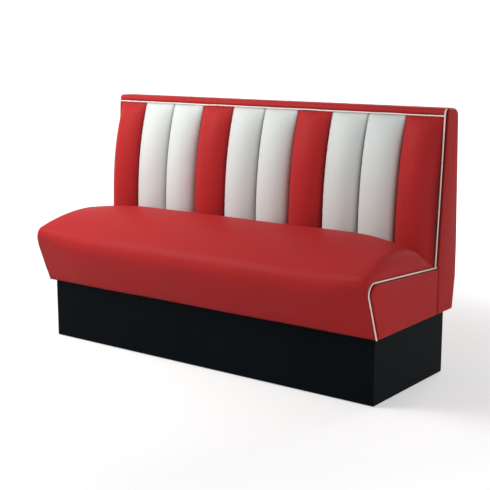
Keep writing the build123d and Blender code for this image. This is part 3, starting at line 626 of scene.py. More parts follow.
def channel_roll(low_x, high_x, outer_side, seat, back):
    """The foam roll in one channel, as rings up its height that close in front of the back's board."""
    board_setback, least_depth, row_step = 0.0095, 0.001, 4
    inset = seat.skin + foam_gap
    front = channel_surface(low_x, high_x, outer_side, inset, seat, back)[::row_step]
    back_y = side_front_y(front[:, :, 2], seat, back) + board_setback
    behind = front.copy()
    behind[..., 1] = np.maximum(back_y, front[..., 1] + least_depth)
    return np.concatenate([front, behind[:, ::-1]], axis=1)


# Outlines of the ends

# Points along each arc and each straight edge, and the least radius of an arc that is drawn in
arc_steps, edge_steps, least_radius = 9, 26, 0.0004
# Radius of the ends' plain corners
plain_radius = 0.002


def rounded_outline(corners, radii, insets, inset):
    """A closed outline drawn in from its corners: each edge moves inwards, and each corner is an arc.

    The edge that leaves corner k moves in by insets[k] and inset. The corners run anticlockwise."""
    following = np.roll(corners, -1, axis=0)
    along = following - corners
    along /= np.linalg.norm(along, axis=1, keepdims=True)
    inwards = np.stack([-along[:, 1], along[:, 0]], -1)
    moved = corners + inwards * (insets + inset)[:, None]
    before, before_along = np.roll(moved, 1, axis=0), np.roll(along, 1, axis=0)
    gap = moved - before
    turn_sine = cross(before_along, along)
    reach = cross(gap, along) / turn_sine
    met = before + before_along * reach[:, None]
    sense = np.sign(turn_sine)
    radius = np.maximum(radii - sense * inset, least_radius)
    turn = np.arctan2(np.abs(turn_sine), np.sum(before_along * along, axis=1))
    leg = radius * np.tan(turn / 2)
    start, end = met - before_along * leg[:, None], met + along * leg[:, None]
    side = np.stack([-before_along[:, 1], before_along[:, 0]], -1) * sense[:, None]
    centre = start + side * radius[:, None]
    swing = turn[:, None] * np.linspace(0, 1, arc_steps) * sense[:, None]
    spoke = (start - centre)[:, None, :]
    arc = centre[:, None, :] + rotated(spoke, swing)
    line_shares = np.linspace(0, 1, edge_steps)[1:-1]
    line = straight(end, np.roll(start, -1, axis=0), line_shares)
    return np.concatenate([arc, line], axis=1).reshape(-1, 2)


def cross(a, b):
    """The cross product of flat vectors."""
    return a[..., 0] * b[..., 1] - a[..., 1] * b[..., 0]


def rotated(vectors, turns):
    """Flat vectors, turned anticlockwise."""
    cosine, sine = np.cos(turns), np.sin(turns)
    y, z = vectors[..., 0], vectors[..., 1]
    return np.stack([y * cosine - z * sine, y * sine + z * cosine], -1)


def padded_panel(corners, radii, insets, side, trim, inner_x):
    """Rings of a padded end panel: a flat back, a quarter round at its edge and a low dome, a parabola
    with two crossed sines for unevenness."""
    round_steps, dome_steps = 8, 14
    y_turns, z_turns, z_shift = 47, 31, 0.6

    def outline(amount):
        """The panel's outline, drawn in."""
        return rounded_outline(corners, radii, insets, amount)

    rings = [ring_at(outline(0), side * inner_x)]
    for turn in np.linspace(0, math.pi / 2, round_steps):
        painted_seam_shade = trim.panel_edge * (1 - math.cos(turn))
        out = inner_x + trim.panel_rise * math.sin(turn)
        rings.append(ring_at(outline(painted_seam_shade), side * out))
    edge = rings[-1]
    middle = edge.mean(0)
    for share in np.linspace(0, 1, dome_steps)[1:-1]:
        ring = blend(edge, middle, share)
        dome = trim.panel_dome * (1 - (1 - share) ** 2)
        swell = trim.panel_ripple * 4 * share * (1 - share)
        swell = swell * np.sin(ring[:, 1] * y_turns) * np.sin(ring[:, 2] * z_turns + z_shift)
        ring[:, 0] += side * (dome + swell)
        rings.append(ring)
    return np.stack(rings)


def ring_at(outline, x):
    """An outline of (y, z) placed along X."""
    return np.concatenate([np.full((len(outline), 1), x), outline], axis=1)


def seat_end_corners(seat, back):
    """Corners of the seat's end profile, anticlockwise from its bottom front, and their radii."""
    ledge = seat_bottom + seat.ledge_rise
    edge_y = front_y + seat.edge_setback
    corners = [
        (edge_y, seat_bottom),
        (seam_y, seat_bottom),
        (seam_y, end_line_z(seam_y, seat, back)),
        (edge_y - seat.front_lean, ledge + seat.front_lift),
    ]
    return np.array(corners), np.array([plain_radius] * 3 + [seat.end_radius])


def back_end_corners(seat, back):
    """Corners of the back's end profile, anticlockwise from its bottom front, and their radii."""
    step_gap, step_radius, heel_radius = 0.003, 0.003, 0.004
    belly_low_radius, belly_high_radius = 0.06, 0.10
    step = end_line_z(rear_y - back.front_low, seat, back) + step_gap
    corners = [
        (seam_y, seat_bottom),
        (rear_y - back.rear_low, seat_bottom),
        (rear_y, seat_bottom + back.belly_low),
        (rear_y, seat_bottom + back.belly_high),
        (rear_y - back.rear_top, top_z),
        (side_front_y(top_z, seat, back), top_z),
        (side_front_y(step, seat, back), step),
        (seam_y, step),
    ]
    rear_radii = [heel_radius, belly_low_radius, belly_high_radius, back.rear_radius]
    radii = [plain_radius, *rear_radii, back.front_radius, step_radius, plain_radius]
    return np.array(corners), np.array(radii)


# Piping


def piping_mesh(name, path, radius, binormal):
    """Round piping: circles along a flat path, with a slight ripple in their radius and round ends."""
    uneven_share, uneven_pitch, uneven_seed = 0.02, 0.023, 0.4
    dome_steps, ring_steps = 5, 17
    tangent = np.gradient(path, axis=0)
    tangent /= np.linalg.norm(tangent, axis=1, keepdims=True)
    uneven = uneven_share * ripple(distances(path, 0), uneven_pitch, uneven_seed)
    dome = np.linspace(0, math.pi / 2, dome_steps)[:-1]
    start = path[0] - tangent[0] * radius * np.sin(dome[::-1])[:, None]
    finish = path[-1] + tangent[-1] * radius * np.sin(dome)[:, None]
    centres = np.concatenate([start, path[1:-1], finish])
    first, last = (np.repeat(end, len(dome), 0) for end in (tangent[:1], tangent[-1:]))
    along = np.concatenate([first, tangent[1:-1], last])
    radii = radius * np.concatenate([np.cos(dome[::-1]), 1 + uneven[1:-1], np.cos(dome)])
    normal = np.cross(along, binormal)
    turns = np.linspace(0, math.tau, ring_steps)[:-1, None]
    ring = normal[:, None, :] * np.cos(turns) + np.array(binormal) * np.sin(turns)
    return closed_mesh(name, centres[:, None, :] + ring * radii[:, None, None])


def spaced(path, pitch):
    """Points along a path, an even distance apart."""
    fewest = 8
    run = distances(path, 0)
    places = np.linspace(0, run[-1], max(int(run[-1] / pitch), fewest))
    return np.stack([np.interp(places, run, path[:, k]) for k in range(path.shape[1])], -1)


def seat_piping_path(seat, back, trim):
    """From the bottom front corner up the front, round the nose and back to the seam."""
    bend_steps, bottom_gap, seam_gap = 30, 0.001, 0.0015
    (end_y, end_z), front_turn, top_turn = end_nose(seat, back)
    radius = seat.end_radius - trim.piping_sink
    turns = np.linspace(front_turn, top_turn, bend_steps)
    nose = np.stack([end_y + radius * np.cos(turns), end_z + radius * np.sin(turns)], -1)
    edge = (front_y + seat.edge_setback + trim.piping_sink, seat_bottom + bottom_gap)
    rear = (seam_y - seam_gap, end_line_z(seam_y, seat, back) - trim.piping_sink)
    return np.concatenate([[edge], nose, [rear]])


def back_piping_path(seat, back, trim):
    """Up the side's front line and over the top front corner."""
    bend_steps, last_turn = 16, math.radians(65)
    low_z = end_line_z(rear_y - back.front_low, seat, back)
    start_z = low_z + 2 * trim.piping_radius - trim.piping_sink
    slope = (back.front_low - back.front_top) / (top_z - back.seam_drop - seat_bottom - seat.ledge_rise)
    lean = math.atan(slope)
    reach = back.front_radius * math.tan((math.pi / 2 - lean) / 2)
    centre = side_front_y(top_z, seat, back) + reach, top_z - back.front_radius
    turns = np.linspace(lean, last_turn, bend_steps)
    radius = back.front_radius - trim.piping_sink
    corner = np.stack([centre[0] - radius * np.cos(turns), centre[1] + radius * np.sin(turns)], -1)
    low = (side_front_y(start_z, seat, back) + trim.piping_sink / math.cos(lean), start_z)
    return np.concatenate([[low], corner])


# Finishes

# Sockets of a Mix node that blends colours
factor, from_colour, to_colour, mixed = 0, 6, 7, 2


def wire(tree, node, inputs):
    """Gives sockets of a node a value each, or a link from another node's output."""
    for name, value in inputs.items():
        if isinstance(value, bpy.types.NodeSocket):
            tree.links.new(value, node.inputs[name])
        else:
            node.inputs[name].default_value = value


def add(tree, kind, inputs=None, out=0, **settings):
    """Adds a node with its settings and its sockets' values or links, and gives one of its outputs."""
    node = tree.nodes.new(kind)
    for name, value in settings.items():
        setattr(node, name, value)
    wire(tree, node, inputs or {})
    return node.outputs[out] if node.outputs else node


def new_finish(name):
    """A material, its tree, its shader and the place on the object that its patterns read."""
    material = bpy.data.materials.new(name)
    material.use_nodes = True
    tree = material.node_tree
    place = add(tree, "ShaderNodeTexCoord", out="Object")
    return material, tree, tree.nodes["Principled BSDF"], place


def shaded(rgba, share):
    """A colour at a share of its strength."""
    return (*(c * share for c in rgba[:3]), 1.0)


def upholstery_vinyl(name, rgba):
    """Calendered PVC on a knitted back, embossed with a fine leather grain and stretched over foam.

    It gives broad soft highlights, a trace of grain, and painted shade along its seams, hems and grooves,
    read from the seam attribute.
    The real grain is about 1.2 mm; it is drawn 4 mm across so that it shows from a few steps away."""
    material, tree, shader, place = new_finish(name)
    grain, stretch, patch = 0.004, 0.09, 0.32
    grain_depth, stretch_depth = 0.00022, 0.0014
    patch_share, seam_share, seam_shade_strength = 0.95, 0.2, 0.85
    seam = add(tree, "ShaderNodeAttribute", out="Fac", attribute_name="seam")
    cloudy = add(tree, "ShaderNodeTexNoise", {"Vector": place, "Scale": 1 / patch})
    share = add(tree, "ShaderNodeMapRange", {"Value": cloudy, "From Min": 0.35, "From Max": 0.65})
    patches = {factor: share, from_colour: shaded(rgba, patch_share), to_colour: rgba}
    base = add(tree, "ShaderNodeMix", patches, mixed, data_type="RGBA")
    # Painted shade along seams, hems and grooves: the colour falls towards a fifth of itself by the seam
    # attribute
    painted_seam_shade = add(tree, "ShaderNodeMath", {0: seam, 1: seam_shade_strength}, operation="MULTIPLY")
    seam_shade_colours = {factor: painted_seam_shade, from_colour: base, to_colour: shaded(rgba, seam_share)}
    base = add(tree, "ShaderNodeMix", seam_shade_colours, mixed, data_type="RGBA")
    eased_foam = add(tree, "ShaderNodeTexNoise", {"Vector": place, "Scale": 1 / stretch})
    relief = add(tree, "ShaderNodeBump", {"Height": eased_foam, "Distance": stretch_depth})
    cells = {"Vector": place, "Scale": 1 / grain, "Smoothness": 0.6}
    cells = add(tree, "ShaderNodeTexVoronoi", cells, feature="SMOOTH_F1")
    relief = add(tree, "ShaderNodeBump", {"Height": cells, "Distance": grain_depth, "Normal": relief})
    rough = {"Value": cloudy, "From Min": 0.3, "From Max": 0.7, "To Min": 0.46, "To Max": 0.54}
    rough = add(tree, "ShaderNodeMapRange", rough)
    wire(tree, shader, {"Base Color": base, "Roughness": rough, "Normal": relief})
    wire(tree, shader, {"IOR": 1.53, "Specular IOR Level": 0.05})
    return material


def piping_vinyl(rgba):
    """Vinyl wrapped round a cord and drawn tight: glossier, with fine creases round the cord."""
    material, tree, shader, place = new_finish("cream_piping_vinyl")
    crease_size, crease_depth, hollow_shade_share = 0.004, 0.0002, 0.93
    crease = add(tree, "ShaderNodeTexNoise", {"Vector": place, "Scale": 1 / crease_size})
    share = add(tree, "ShaderNodeMapRange", {"Value": crease, "From Min": 0.25, "From Max": 0.6})
    # Painted shade: a little darker where the crease noise is low, in the hollows of its bump
    colours = {factor: share, from_colour: shaded(rgba, hollow_shade_share), to_colour: rgba}
    base = add(tree, "ShaderNodeMix", colours, mixed, data_type="RGBA")
    rough = add(tree, "ShaderNodeMapRange", {"Value": crease, "To Min": 0.26, "To Max": 0.36})
    relief = add(tree, "ShaderNodeBump", {"Height": crease, "Distance": crease_depth})
    wire(tree, shader, {"Base Color": base, "Roughness": rough, "Normal": relief, "IOR": 1.53})
    return material


def black_laminate(rgba):
    """Melamine paper pressed on chipboard with a pearl texture: an even black with a satin gloss."""
    material, tree, shader, place = new_finish("black_melamine_board")
    pearl_size, pearl_depth, haze_size, haze_share = 0.003, 0.00012, 0.22, 0.75
    pearl = add(tree, "ShaderNodeTexNoise", {"Vector": place, "Scale": 1 / pearl_size})
    haze = add(tree, "ShaderNodeTexNoise", {"Vector": place, "Scale": 1 / haze_size})
    share = add(tree, "ShaderNodeMapRange", {"Value": haze, "From Min": 0.35, "From Max": 0.65})
    colours = {factor: share, from_colour: shaded(rgba, haze_share), to_colour: rgba}
    base = add(tree, "ShaderNodeMix", colours, mixed, data_type="RGBA")
    rough = add(tree, "ShaderNodeMapRange", {"Value": haze, "To Min": 0.40, "To Max": 0.50})
    relief = add(tree, "ShaderNodeBump", {"Height": pearl, "Distance": pearl_depth})
    wire(tree, shader, {"Base Color": base, "Roughness": rough, "Normal": relief})
    wire(tree, shader, {"IOR": 1.5, "Specular IOR Level": 0.02})
    return material


def birch_plywood(name, across):
    """Rotary-cut birch in thin layers: pale swirling faces, and stripes on the cut edges.

    across is the axis that the layers, 1.5 mm thick, follow one another along. The wave's bands repeat
    every tenth of pi at a scale of 1. A face whose normal has less than half its length along that axis
    is a cut edge."""
    material, tree, shader, place = new_finish(name)
    layer, figure_width, figure_length, figure_depth = 0.0015, 0.02, 0.4, 0.0003
    band_pitch, half_share = math.pi / 10, 0.5
    scale = [1 / figure_width] * 3
    scale[(across + 1) % 3] = 1 / figure_length
    grain = add(tree, "ShaderNodeMapping", {"Vector": place, "Scale": scale})
    figure = add(tree, "ShaderNodeTexNoise", {"Vector": grain, "Scale": 1.0, "Detail": 5.0})
    pale, warm, dark = linear("#DCC196"), linear("#C9A672"), linear("#8F6A40")
    figured = {factor: figure, from_colour: pale, to_colour: warm}
    face = add(tree, "ShaderNodeMix", figured, mixed, data_type="RGBA")
    waves = {"Vector": place, "Scale": band_pitch / layer, "Distortion": 0.15}
    waves = add(tree, "ShaderNodeTexWave", waves, "Fac", bands_direction="XYZ"[across])
    striped = {factor: waves, from_colour: face, to_colour: dark}
    edge_face = add(tree, "ShaderNodeMix", striped, mixed, data_type="RGBA")
    normal = add(tree, "ShaderNodeNewGeometry", out="Normal")
    facing = add(tree, "ShaderNodeSeparateXYZ", {"Vector": normal}, across)
    facing = add(tree, "ShaderNodeMath", {0: facing}, operation="ABSOLUTE")
    is_edge = add(tree, "ShaderNodeMath", {0: facing, 1: half_share}, operation="LESS_THAN")
    either = {factor: is_edge, from_colour: face, to_colour: edge_face}
    base = add(tree, "ShaderNodeMix", either, mixed, data_type="RGBA")
    relief = add(tree, "ShaderNodeBump", {"Height": figure, "Distance": figure_depth})
    wire(tree, shader, {"Base Color": base, "Roughness": 0.62, "Normal": relief})
    return material


def fibrous(name, size, detail, pale, dark, roughness, depth):
    """A grainy finish from one noise, whose patches are as long along each axis as size says."""
    material, tree, shader, place = new_finish(name)
    grain = add(tree, "ShaderNodeMapping", {"Vector": place, "Scale": [1 / along for along in size]})
    fibre = add(tree, "ShaderNodeTexNoise", {"Vector": grain, "Scale": 1.0, "Detail": detail})
    share = add(tree, "ShaderNodeMapRange", {"Value": fibre, "From Min": 0.3, "From Max": 0.7})
    colours = {factor: share, from_colour: linear(pale), to_colour: linear(dark)}
    base = add(tree, "ShaderNodeMix", colours, mixed, data_type="RGBA")
    relief = add(tree, "ShaderNodeBump", {"Height": fibre, "Distance": depth})
    wire(tree, shader, {"Base Color": base, "Roughness": roughness, "Normal": relief})
    return material


def planed_softwood():
    """Spruce planed on four sides: long pale grain, 12 mm wide here, with darker late wood."""
    size, pale, dark = (0.9, 0.012, 0.012), "#E2C794", "#B98850"
    return fibrous("planed_spruce", size, detail=4.0, pale=pale, dark=dark, roughness=0.66, depth=0.0003)


def tempered_hardboard():
    """Wood fibre pressed in oil: dark brown and fairly smooth, with short fibres showing."""
    size, pale, dark = (0.01, 0.004, 0.006), "#6B4A2E", "#4A3220"
    name = "tempered_hardboard"
    return fibrous(name, size, detail=6.0, pale=pale, dark=dark, roughness=0.55, depth=0.0002)


def pressed_felt():
    """Mixed waste fibres needled into a grey felt, matt, with pale and dark flecks."""
    size, pale, dark = (0.004, 0.004, 0.004), "#57544F", "#8B867D"
    return fibrous("needled_felt", size, detail=6.0, pale=pale, dark=dark, roughness=1.0, depth=0.001)


def moulded_polythene():
    """Injection-moulded polythene: waxy dark grey with a faint flow texture."""
    size, pale, dark = (0.006, 0.006, 0.006), "#202022", "#2B2B2D"
    name = "moulded_polythene"
    return fibrous(name, size, detail=3.0, pale=pale, dark=dark, roughness=0.48, depth=0.0001)


def dotted(name, size, randomness, pale, dark, roughness, depth):
    """A finish of small cells, each as wide as size."""
    material, tree, shader, place = new_finish(name)
    cells = {"Vector": place, "Scale": 1 / size, "Randomness": randomness}
    cells = add(tree, "ShaderNodeTexVoronoi", cells)
    colours = {factor: cells, from_colour: linear(pale), to_colour: linear(dark)}
    base = add(tree, "ShaderNodeMix", colours, mixed, data_type="RGBA")
    relief = add(tree, "ShaderNodeBump", {"Height": cells, "Distance": depth})
    wire(tree, shader, {"Base Color": base, "Roughness": roughness, "Normal": relief})
    return material


def cut_foam():
    """Polyurethane foam cut with a hot wire: cream, quite matt, its open cells drawn 3 mm wide."""
    size, randomness, pale, dark = 0.003, 1.0, "#EFE6C2", "#D9CC9C"
    return dotted("polyurethane_foam", size, randomness, pale, dark, roughness=0.95, depth=0.0008)


def spunbond_cloth():
    """Black polypropylene fibres bonded by hot pins, which leave rows of small dots 2 mm apart.

    The dots are drawn 5 mm apart so that they show."""
    size, randomness, pale, dark = 0.005, 0.15, "#1B1B1C", "#2C2C2D"
    return dotted("spunbond_dust_cloth", size, randomness, pale, dark, roughness=0.85, depth=0.0004)


def drawn_steel(name, clean, stained, roughness):
    """Steel with a worked surface: oiled spring wire, or zinc plating, with a faint bloom."""
    material, tree, shader, place = new_finish(name)
    bloom_size, smoother, rougher = 0.012, 0.05, 0.1
    bloom = add(tree, "ShaderNodeTexNoise", {"Vector": place, "Scale": 1 / bloom_size})
    colours = {factor: bloom, from_colour: linear(clean), to_colour: linear(stained)}
    base = add(tree, "ShaderNodeMix", colours, mixed, data_type="RGBA")
    rough = {"Value": bloom, "To Min": roughness - smoother, "To Max": roughness + rougher}
    rough = add(tree, "ShaderNodeMapRange", rough)
    wire(tree, shader, {"Base Color": base, "Metallic": 1.0, "Roughness": rough})
    return material


finish_cache = {}


def finish_of(slot):
    """The material of a slot of the record, made when it is first asked for."""
    if slot not in finish_cache:
        colours = bpy.context.scene.booth_colours
        makers = {
            "red_vinyl": lambda: upholstery_vinyl("red_upholstery_vinyl", (*colours.red, 1.0)),
            "white_vinyl": lambda: upholstery_vinyl("white_upholstery_vinyl", (*colours.white, 1.0)),
            "piping_vinyl": lambda: piping_vinyl((*colours.piping, 1.0)),
            "black_laminate": lambda: black_laminate((*colours.black, 1.0)),
            "softwood": planed_softwood,
            "hardboard": tempered_hardboard,
            "foam": cut_foam,
            "felt": pressed_felt,
            "dust_cloth": spunbond_cloth,
            "spring_steel": lambda: drawn_steel("oiled_spring_wire", "#6E6F72", "#55534F", roughness=0.34),
            "zinc_steel": lambda: drawn_steel("zinc_plated_steel", "#B9BCC0", "#A9A698", roughness=0.30),
            "glide_plastic": moulded_polythene,
        }
        finish_cache[slot] = makers[slot]()
    return finish_cache[slot]


def finish_node(node, material):
    """Gives a node of the frame its finish."""
    piece = frame["nodes"][node]
    piece.data.materials.clear()
    piece.data.materials.append(material)


# Operators


class BOOTH_OT_seat(bpy.types.Operator):
    """The crowned seat: its red cover and the foam inside"""

    bl_idname = "booth.seat"
    bl_label = "Seat"
    bl_options = {"REGISTER", "UNDO"}

    def execute(self, context):
        seat, back = context.scene.booth_seat, context.scene.booth_back
        points, nearness = seat_surface(seat, back)
        points, nearness = facing_out(points, (0, 0, seat_bottom), nearness)
        mesh = shell_mesh("seat_cushion_cover", points, seat.skin)
        cover = add_piece("seat_cushion_cover", mesh, "red_vinyl", ["seat_cover"])
        store_seam_shade(cover, nearness)
        pad = closed_mesh("seat_foam_pad", seat_foam_rings(seat, back))
        add_piece("seat_foam_pad", pad, "foam", ["seat_foam"])
        return {"FINISHED"}


class BOOTH_OT_channels(bpy.types.Operator):
    """The ten vertical channels of the back, red and white, and their foam rolls"""

    bl_idname = "booth.channels"
    bl_label = "Channels"
    bl_options = {"REGISTER", "UNDO"}

    def execute(self, context):
        seat, back = context.scene.booth_seat, context.scene.booth_back
        names = sorted(name for name in frame["nodes"] if name.startswith("back_channel_"))
        names.remove("back_channel_foam")
        rolls = []
        for k, node in enumerate(names):
            low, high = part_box(node)
            outer_side = {0: -1, len(names) - 1: 1}.get(k, 0)
            slot = "white_vinyl" if node.endswith("white") else "red_vinyl"
            points, nearness = channel_cover(low.x, high.x, outer_side, k, seat, back)
            name = node.replace("back_channel", "channel_cover")
            cover = add_piece(name, shell_mesh(name, points, seat.skin), slot, [node])
            store_seam_shade(cover, nearness)
            rolls.append(channel_roll(low.x, high.x, outer_side, seat, back))
        mesh = closed_mesh("channel_foam_rolls", *rolls)
        add_piece("channel_foam_rolls", mesh, "foam", ["back_channel_foam"])
        return {"FINISHED"}


def back_outline_points(pitch, seat, back):
    """Points round the back's end profile, an even pitch apart."""
    corners, radii = back_end_corners(seat, back)
    return spaced(rounded_outline(corners, radii, np.zeros(len(corners)), 0), pitch)


def band_profile(seat, back):
    """From the top seam's piping up the front, over the top and down to the rear seam: the outline above
    them, sorted by its turn round a hub in the middle of the back."""
    pitch, piping_gap, hub_drop = 0.0015, 0.0026, 0.06
    outline = back_outline_points(pitch, seat, back)
    middle_y = (side_front_y(top_z, seat, back) + rear_y) / 2
    front_low_z = top_z - back.seam_drop + piping_gap
    low = np.where(outline[:, 0] < middle_y, front_low_z, top_z - back.rear_seam)
    kept = outline[outline[:, 1] > low]
    hub_z = top_z - hub_drop
    return kept[np.argsort(np.arctan2(kept[:, 1] - hub_z, kept[:, 0] - middle_y))]


def rear_profile(seat, back):
    """From the underside up the rear to the rear seam."""
    pitch, front_gap, seam_gap, hem_gap = 0.0025, 0.006, 0.0003, 0.0006
    outline = back_outline_points(pitch, seat, back)
    rear = outline[outline[:, 0] > rear_y - back.rear_top - front_gap]
    rear = rear[rear[:, 1] < top_z - back.rear_seam - seam_gap]
    rear = rear[rear[:, 1] > seat_bottom + hem_gap]
    return rear[np.argsort(rear[:, 1])]


def carried(profile, x):
    """A profile of (y, z) carried along the bench, through places along X."""
    return with_x(x, np.broadcast_to(profile, (len(x),) + profile.shape))


def add_cover(name, profile, sag, stands_for, seat):
    """A red cover: its profile carried along the bench as a closed sheet, drawn in by a ripple that
    is greatest half way between its two edges."""
    rows, sag_pitch, sag_seed, shade_share = 151, 0.06, 0.7, 0.03
    inside_depth, inside_height = 0.06, 0.7
    x = np.linspace(-cover_half, cover_half, rows)
    share = np.linspace(0, 1, len(profile))
    points = carried(profile, x)
    wave = sag * ripple(x, sag_pitch, sag_seed)[:, None] * np.sin(math.pi * share)
    # Painted shade along the cover's two seams
    nearness = np.exp(-share / shade_share) + np.exp((share - 1) / shade_share) + 0 * wave
    inside = 0, rear_y - inside_depth, inside_height
    points, wave, nearness = facing_out(points, inside, wave, nearness)
    points = points + surface_normals(points) * wave[..., None]
    cover = add_piece(name, shell_mesh(name, points, seat.skin), "red_vinyl", stands_for)
    store_seam_shade(cover, np.clip(nearness, 0, 1))


def top_foam_rings(band):
    """The foam under the band, as rings along the bench: the band drawn in, and inside it a line that
    is nearer the middle and level at its top."""
    low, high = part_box("back_top_foam")
    gap, thickness, squeeze_share, rows = 0.002, 0.0112, 0.16, 9
    band = band[band[:, 1] > low.z]
    inner_y = blend(band[:, 0], (low.y + high.y) / 2, squeeze_share)
    inner = np.stack([inner_y, np.minimum(band[:, 1] - gap, top_z - thickness)], -1)
    ring = np.concatenate([inset_profile(band, gap), inner[::-1]])
    return carried(ring, np.linspace(low.x, high.x, rows))


class BOOTH_OT_back_covers(bpy.types.Operator):
    """The red band over the top of the back, the foam under it and the outside cover"""

    bl_idname = "booth.back_covers"
    bl_label = "Band and outside cover"
    bl_options = {"REGISTER", "UNDO"}

    def execute(self, context):
        seat, back = context.scene.booth_seat, context.scene.booth_back
        band_sag, rear_sag = 0.0004, 0.0012
        band, rear = band_profile(seat, back), rear_profile(seat, back)
        add_cover("top_band", band, band_sag, ["back_top_band"], seat)
        add_cover("outside_cover", rear, rear_sag, ["back_outside_cover"], seat)
        mesh = closed_mesh("top_foam_strip", top_foam_rings(band))
        add_piece("top_foam_strip", mesh, "foam", ["back_top_foam"])
        return {"FINISHED"}


def inset_profile(profile, amount):
    """A profile moved inwards along its normals."""
    tangent = np.gradient(profile, axis=0)
    tangent /= np.linalg.norm(tangent, axis=1, keepdims=True)
    inwards = np.stack([-tangent[:, 1], tangent[:, 0]], -1)
    if np.sum(inwards * (profile.mean(0) - profile)) < 0:
        inwards = -inwards
    return profile + inwards * amount


def panel_shade(rings):
    """How near a panel's points are to its edge, as painted shade round its rim: 1 at its back, falling
    evenly over its first rings.
    """
    first_share, fading_rings = 1.4, 5
    return np.clip(first_share - np.arange(len(rings)) / fading_rings, 0, 1)[:, None] + 0 * rings[..., 0]


def groove_shade(rings, step_z, seat, back, trim):
    """Painted shade in the groove behind the back's piping, above the seat: 1 beside the piping, with even
    fades.
    """
    groove_reach, groove_fade, step_fade = 0.006, 0.004, 0.02
    behind = rings[..., 1] - side_front_y(rings[..., 2], seat, back)
    groove = np.clip((trim.panel_groove + groove_reach - behind) / groove_fade, 0, 1)
    return groove * eased((rings[..., 2] - step_z) / step_fade)


class BOOTH_OT_end_panels(bpy.types.Operator):
    """The padded red panels on the ends of the seat and of the back"""

    bl_idname = "booth.end_panels"
    bl_label = "End panels"
    bl_options = {"REGISTER", "UNDO"}

    def execute(self, context):
        scene = context.scene
        seat, back, trim = scene.booth_seat, scene.booth_back, scene.booth_trim
        inner_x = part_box("seat_side_panel_right")[0].x
        rounded_degrees = 80
        gap, beside, groove = foam_gap, trim.panel_inset, trim.panel_groove
        profiles = {
            "seat": (*seat_end_corners(seat, back), [0, seat.skin + gap, beside, beside]),
            "back": (*back_end_corners(seat, back), [0, gap, gap, gap, gap, groove, gap, gap]),
        }
        step_z = profiles["back"][0][-1, 1]
        for side, word in ((-1, "left"), (1, "right")):
            for part, (corners, radii, insets) in profiles.items():
                rings = padded_panel(corners, radii, np.array(insets), side, trim, inner_x)
                name = f"{part}_end_panel_{word}"
                stands_for = [f"{part}_side_panel_{word}"]
                mesh = closed_mesh(name, rings, sharp_degrees=rounded_degrees)
                panel = add_piece(name, mesh, "red_vinyl", stands_for)
                # Painted shade round the panel's rim and, on the back's panels, in the groove behind the
                # piping
                dark = panel_shade(rings)
                if part == "back":
                    dark = np.maximum(dark, groove_shade(rings, step_z, seat, back, trim))
                store_seam_shade(panel, np.append(dark, (1.0, 0.0)))
        return {"FINISHED"}


def top_seam_path(seat, back):
    """Along the top seam, a little uneven in depth and in height."""
    steps, depth_gap = 320, 0.0003
    depth_wave, depth_pitch, depth_seed = 0.0004, 0.16, 0.3
    height_wave, height_pitch, height_seed = 0.0006, 0.19, 1.9
    seam_z = top_z - back.seam_drop
    x = np.linspace(-cover_half, cover_half, steps)
    y = side_front_y(seam_z, seat, back) + depth_gap + depth_wave * ripple(x, depth_pitch, depth_seed)
    z = seam_z + height_wave * ripple(x, height_pitch, height_seed)
    return np.stack([x, y, z], -1)


class BOOTH_OT_piping(bpy.types.Operator):
    """The cream piping round the ends and along the top seam"""

    bl_idname = "booth.piping"
    bl_label = "Piping"
    bl_options = {"REGISTER", "UNDO"}

    def execute(self, context):
        scene = context.scene
        seat, back, trim = scene.booth_seat, scene.booth_back, scene.booth_trim
        radius, spacing = trim.piping_radius, 0.003
        paths = {
            "seat": seat_piping_path(seat, back, trim),
            "back": back_piping_path(seat, back, trim),
        }
        for side, word in ((-1, "left"), (1, "right")):
            for part, path in paths.items():
                name = f"{part}_welt_{word}"
                placed = ring_at(spaced(path, spacing), side * (bench_half - radius))
                mesh = piping_mesh(name, placed, radius, (1.0, 0.0, 0.0))
                add_piece(name, mesh, "piping_vinyl", [f"{part}_piping_{word}"])
        mesh = piping_mesh("top_welt", top_seam_path(seat, back), radius, (0.0, 0.0, 1.0))
        add_piece("top_welt", mesh, "piping_vinyl", ["back_top_piping"])
        return {"FINISHED"}


class BOOTH_OT_frame_finishes(bpy.types.Operator):
    """Finishes of the plinth, the timber frame, the springs and the fasteners"""

    bl_idname = "booth.frame_finishes"
    bl_label = "Plinth, timber and springs"
    bl_options = {"REGISTER", "UNDO"}

    def execute(self, context):
        ends = birch_plywood("birch_plywood_ends", 0)
        fronts = birch_plywood("birch_plywood_fronts", 1)
        for part in frame["record"]["subparts"]:
            node, slot = part["node"], part["material_slot"]
            if frame["nodes"][node].hide_render:
                continue
            if slot == "frame_plywood":
                finish_node(node, fronts if "board" in node else ends)
            else:
                finish_node(node, finish_of(slot))
        return {"FINISHED"}


def shown_white(tree, lit, shown):
    """The strength of a backdrop: one level where it lights the bench, and another where the camera,
    a reflection or a view through something shows it."""
    seen = add(tree, "ShaderNodeLightPath", out="Is Camera Ray").node
    rays = [seen.outputs[name] for name in ("Is Camera Ray", "Is Glossy Ray", "Is Transmission Ray")]
    share = add(tree, "ShaderNodeMath", {0: rays[0], 1: rays[1]}, operation="MAXIMUM")
    share = add(tree, "ShaderNodeMath", {0: share, 1: rays[2]}, operation="MAXIMUM")
    return add(tree, "ShaderNodeMapRange", {"Value": share, "To Min": lit, "To Max": shown})


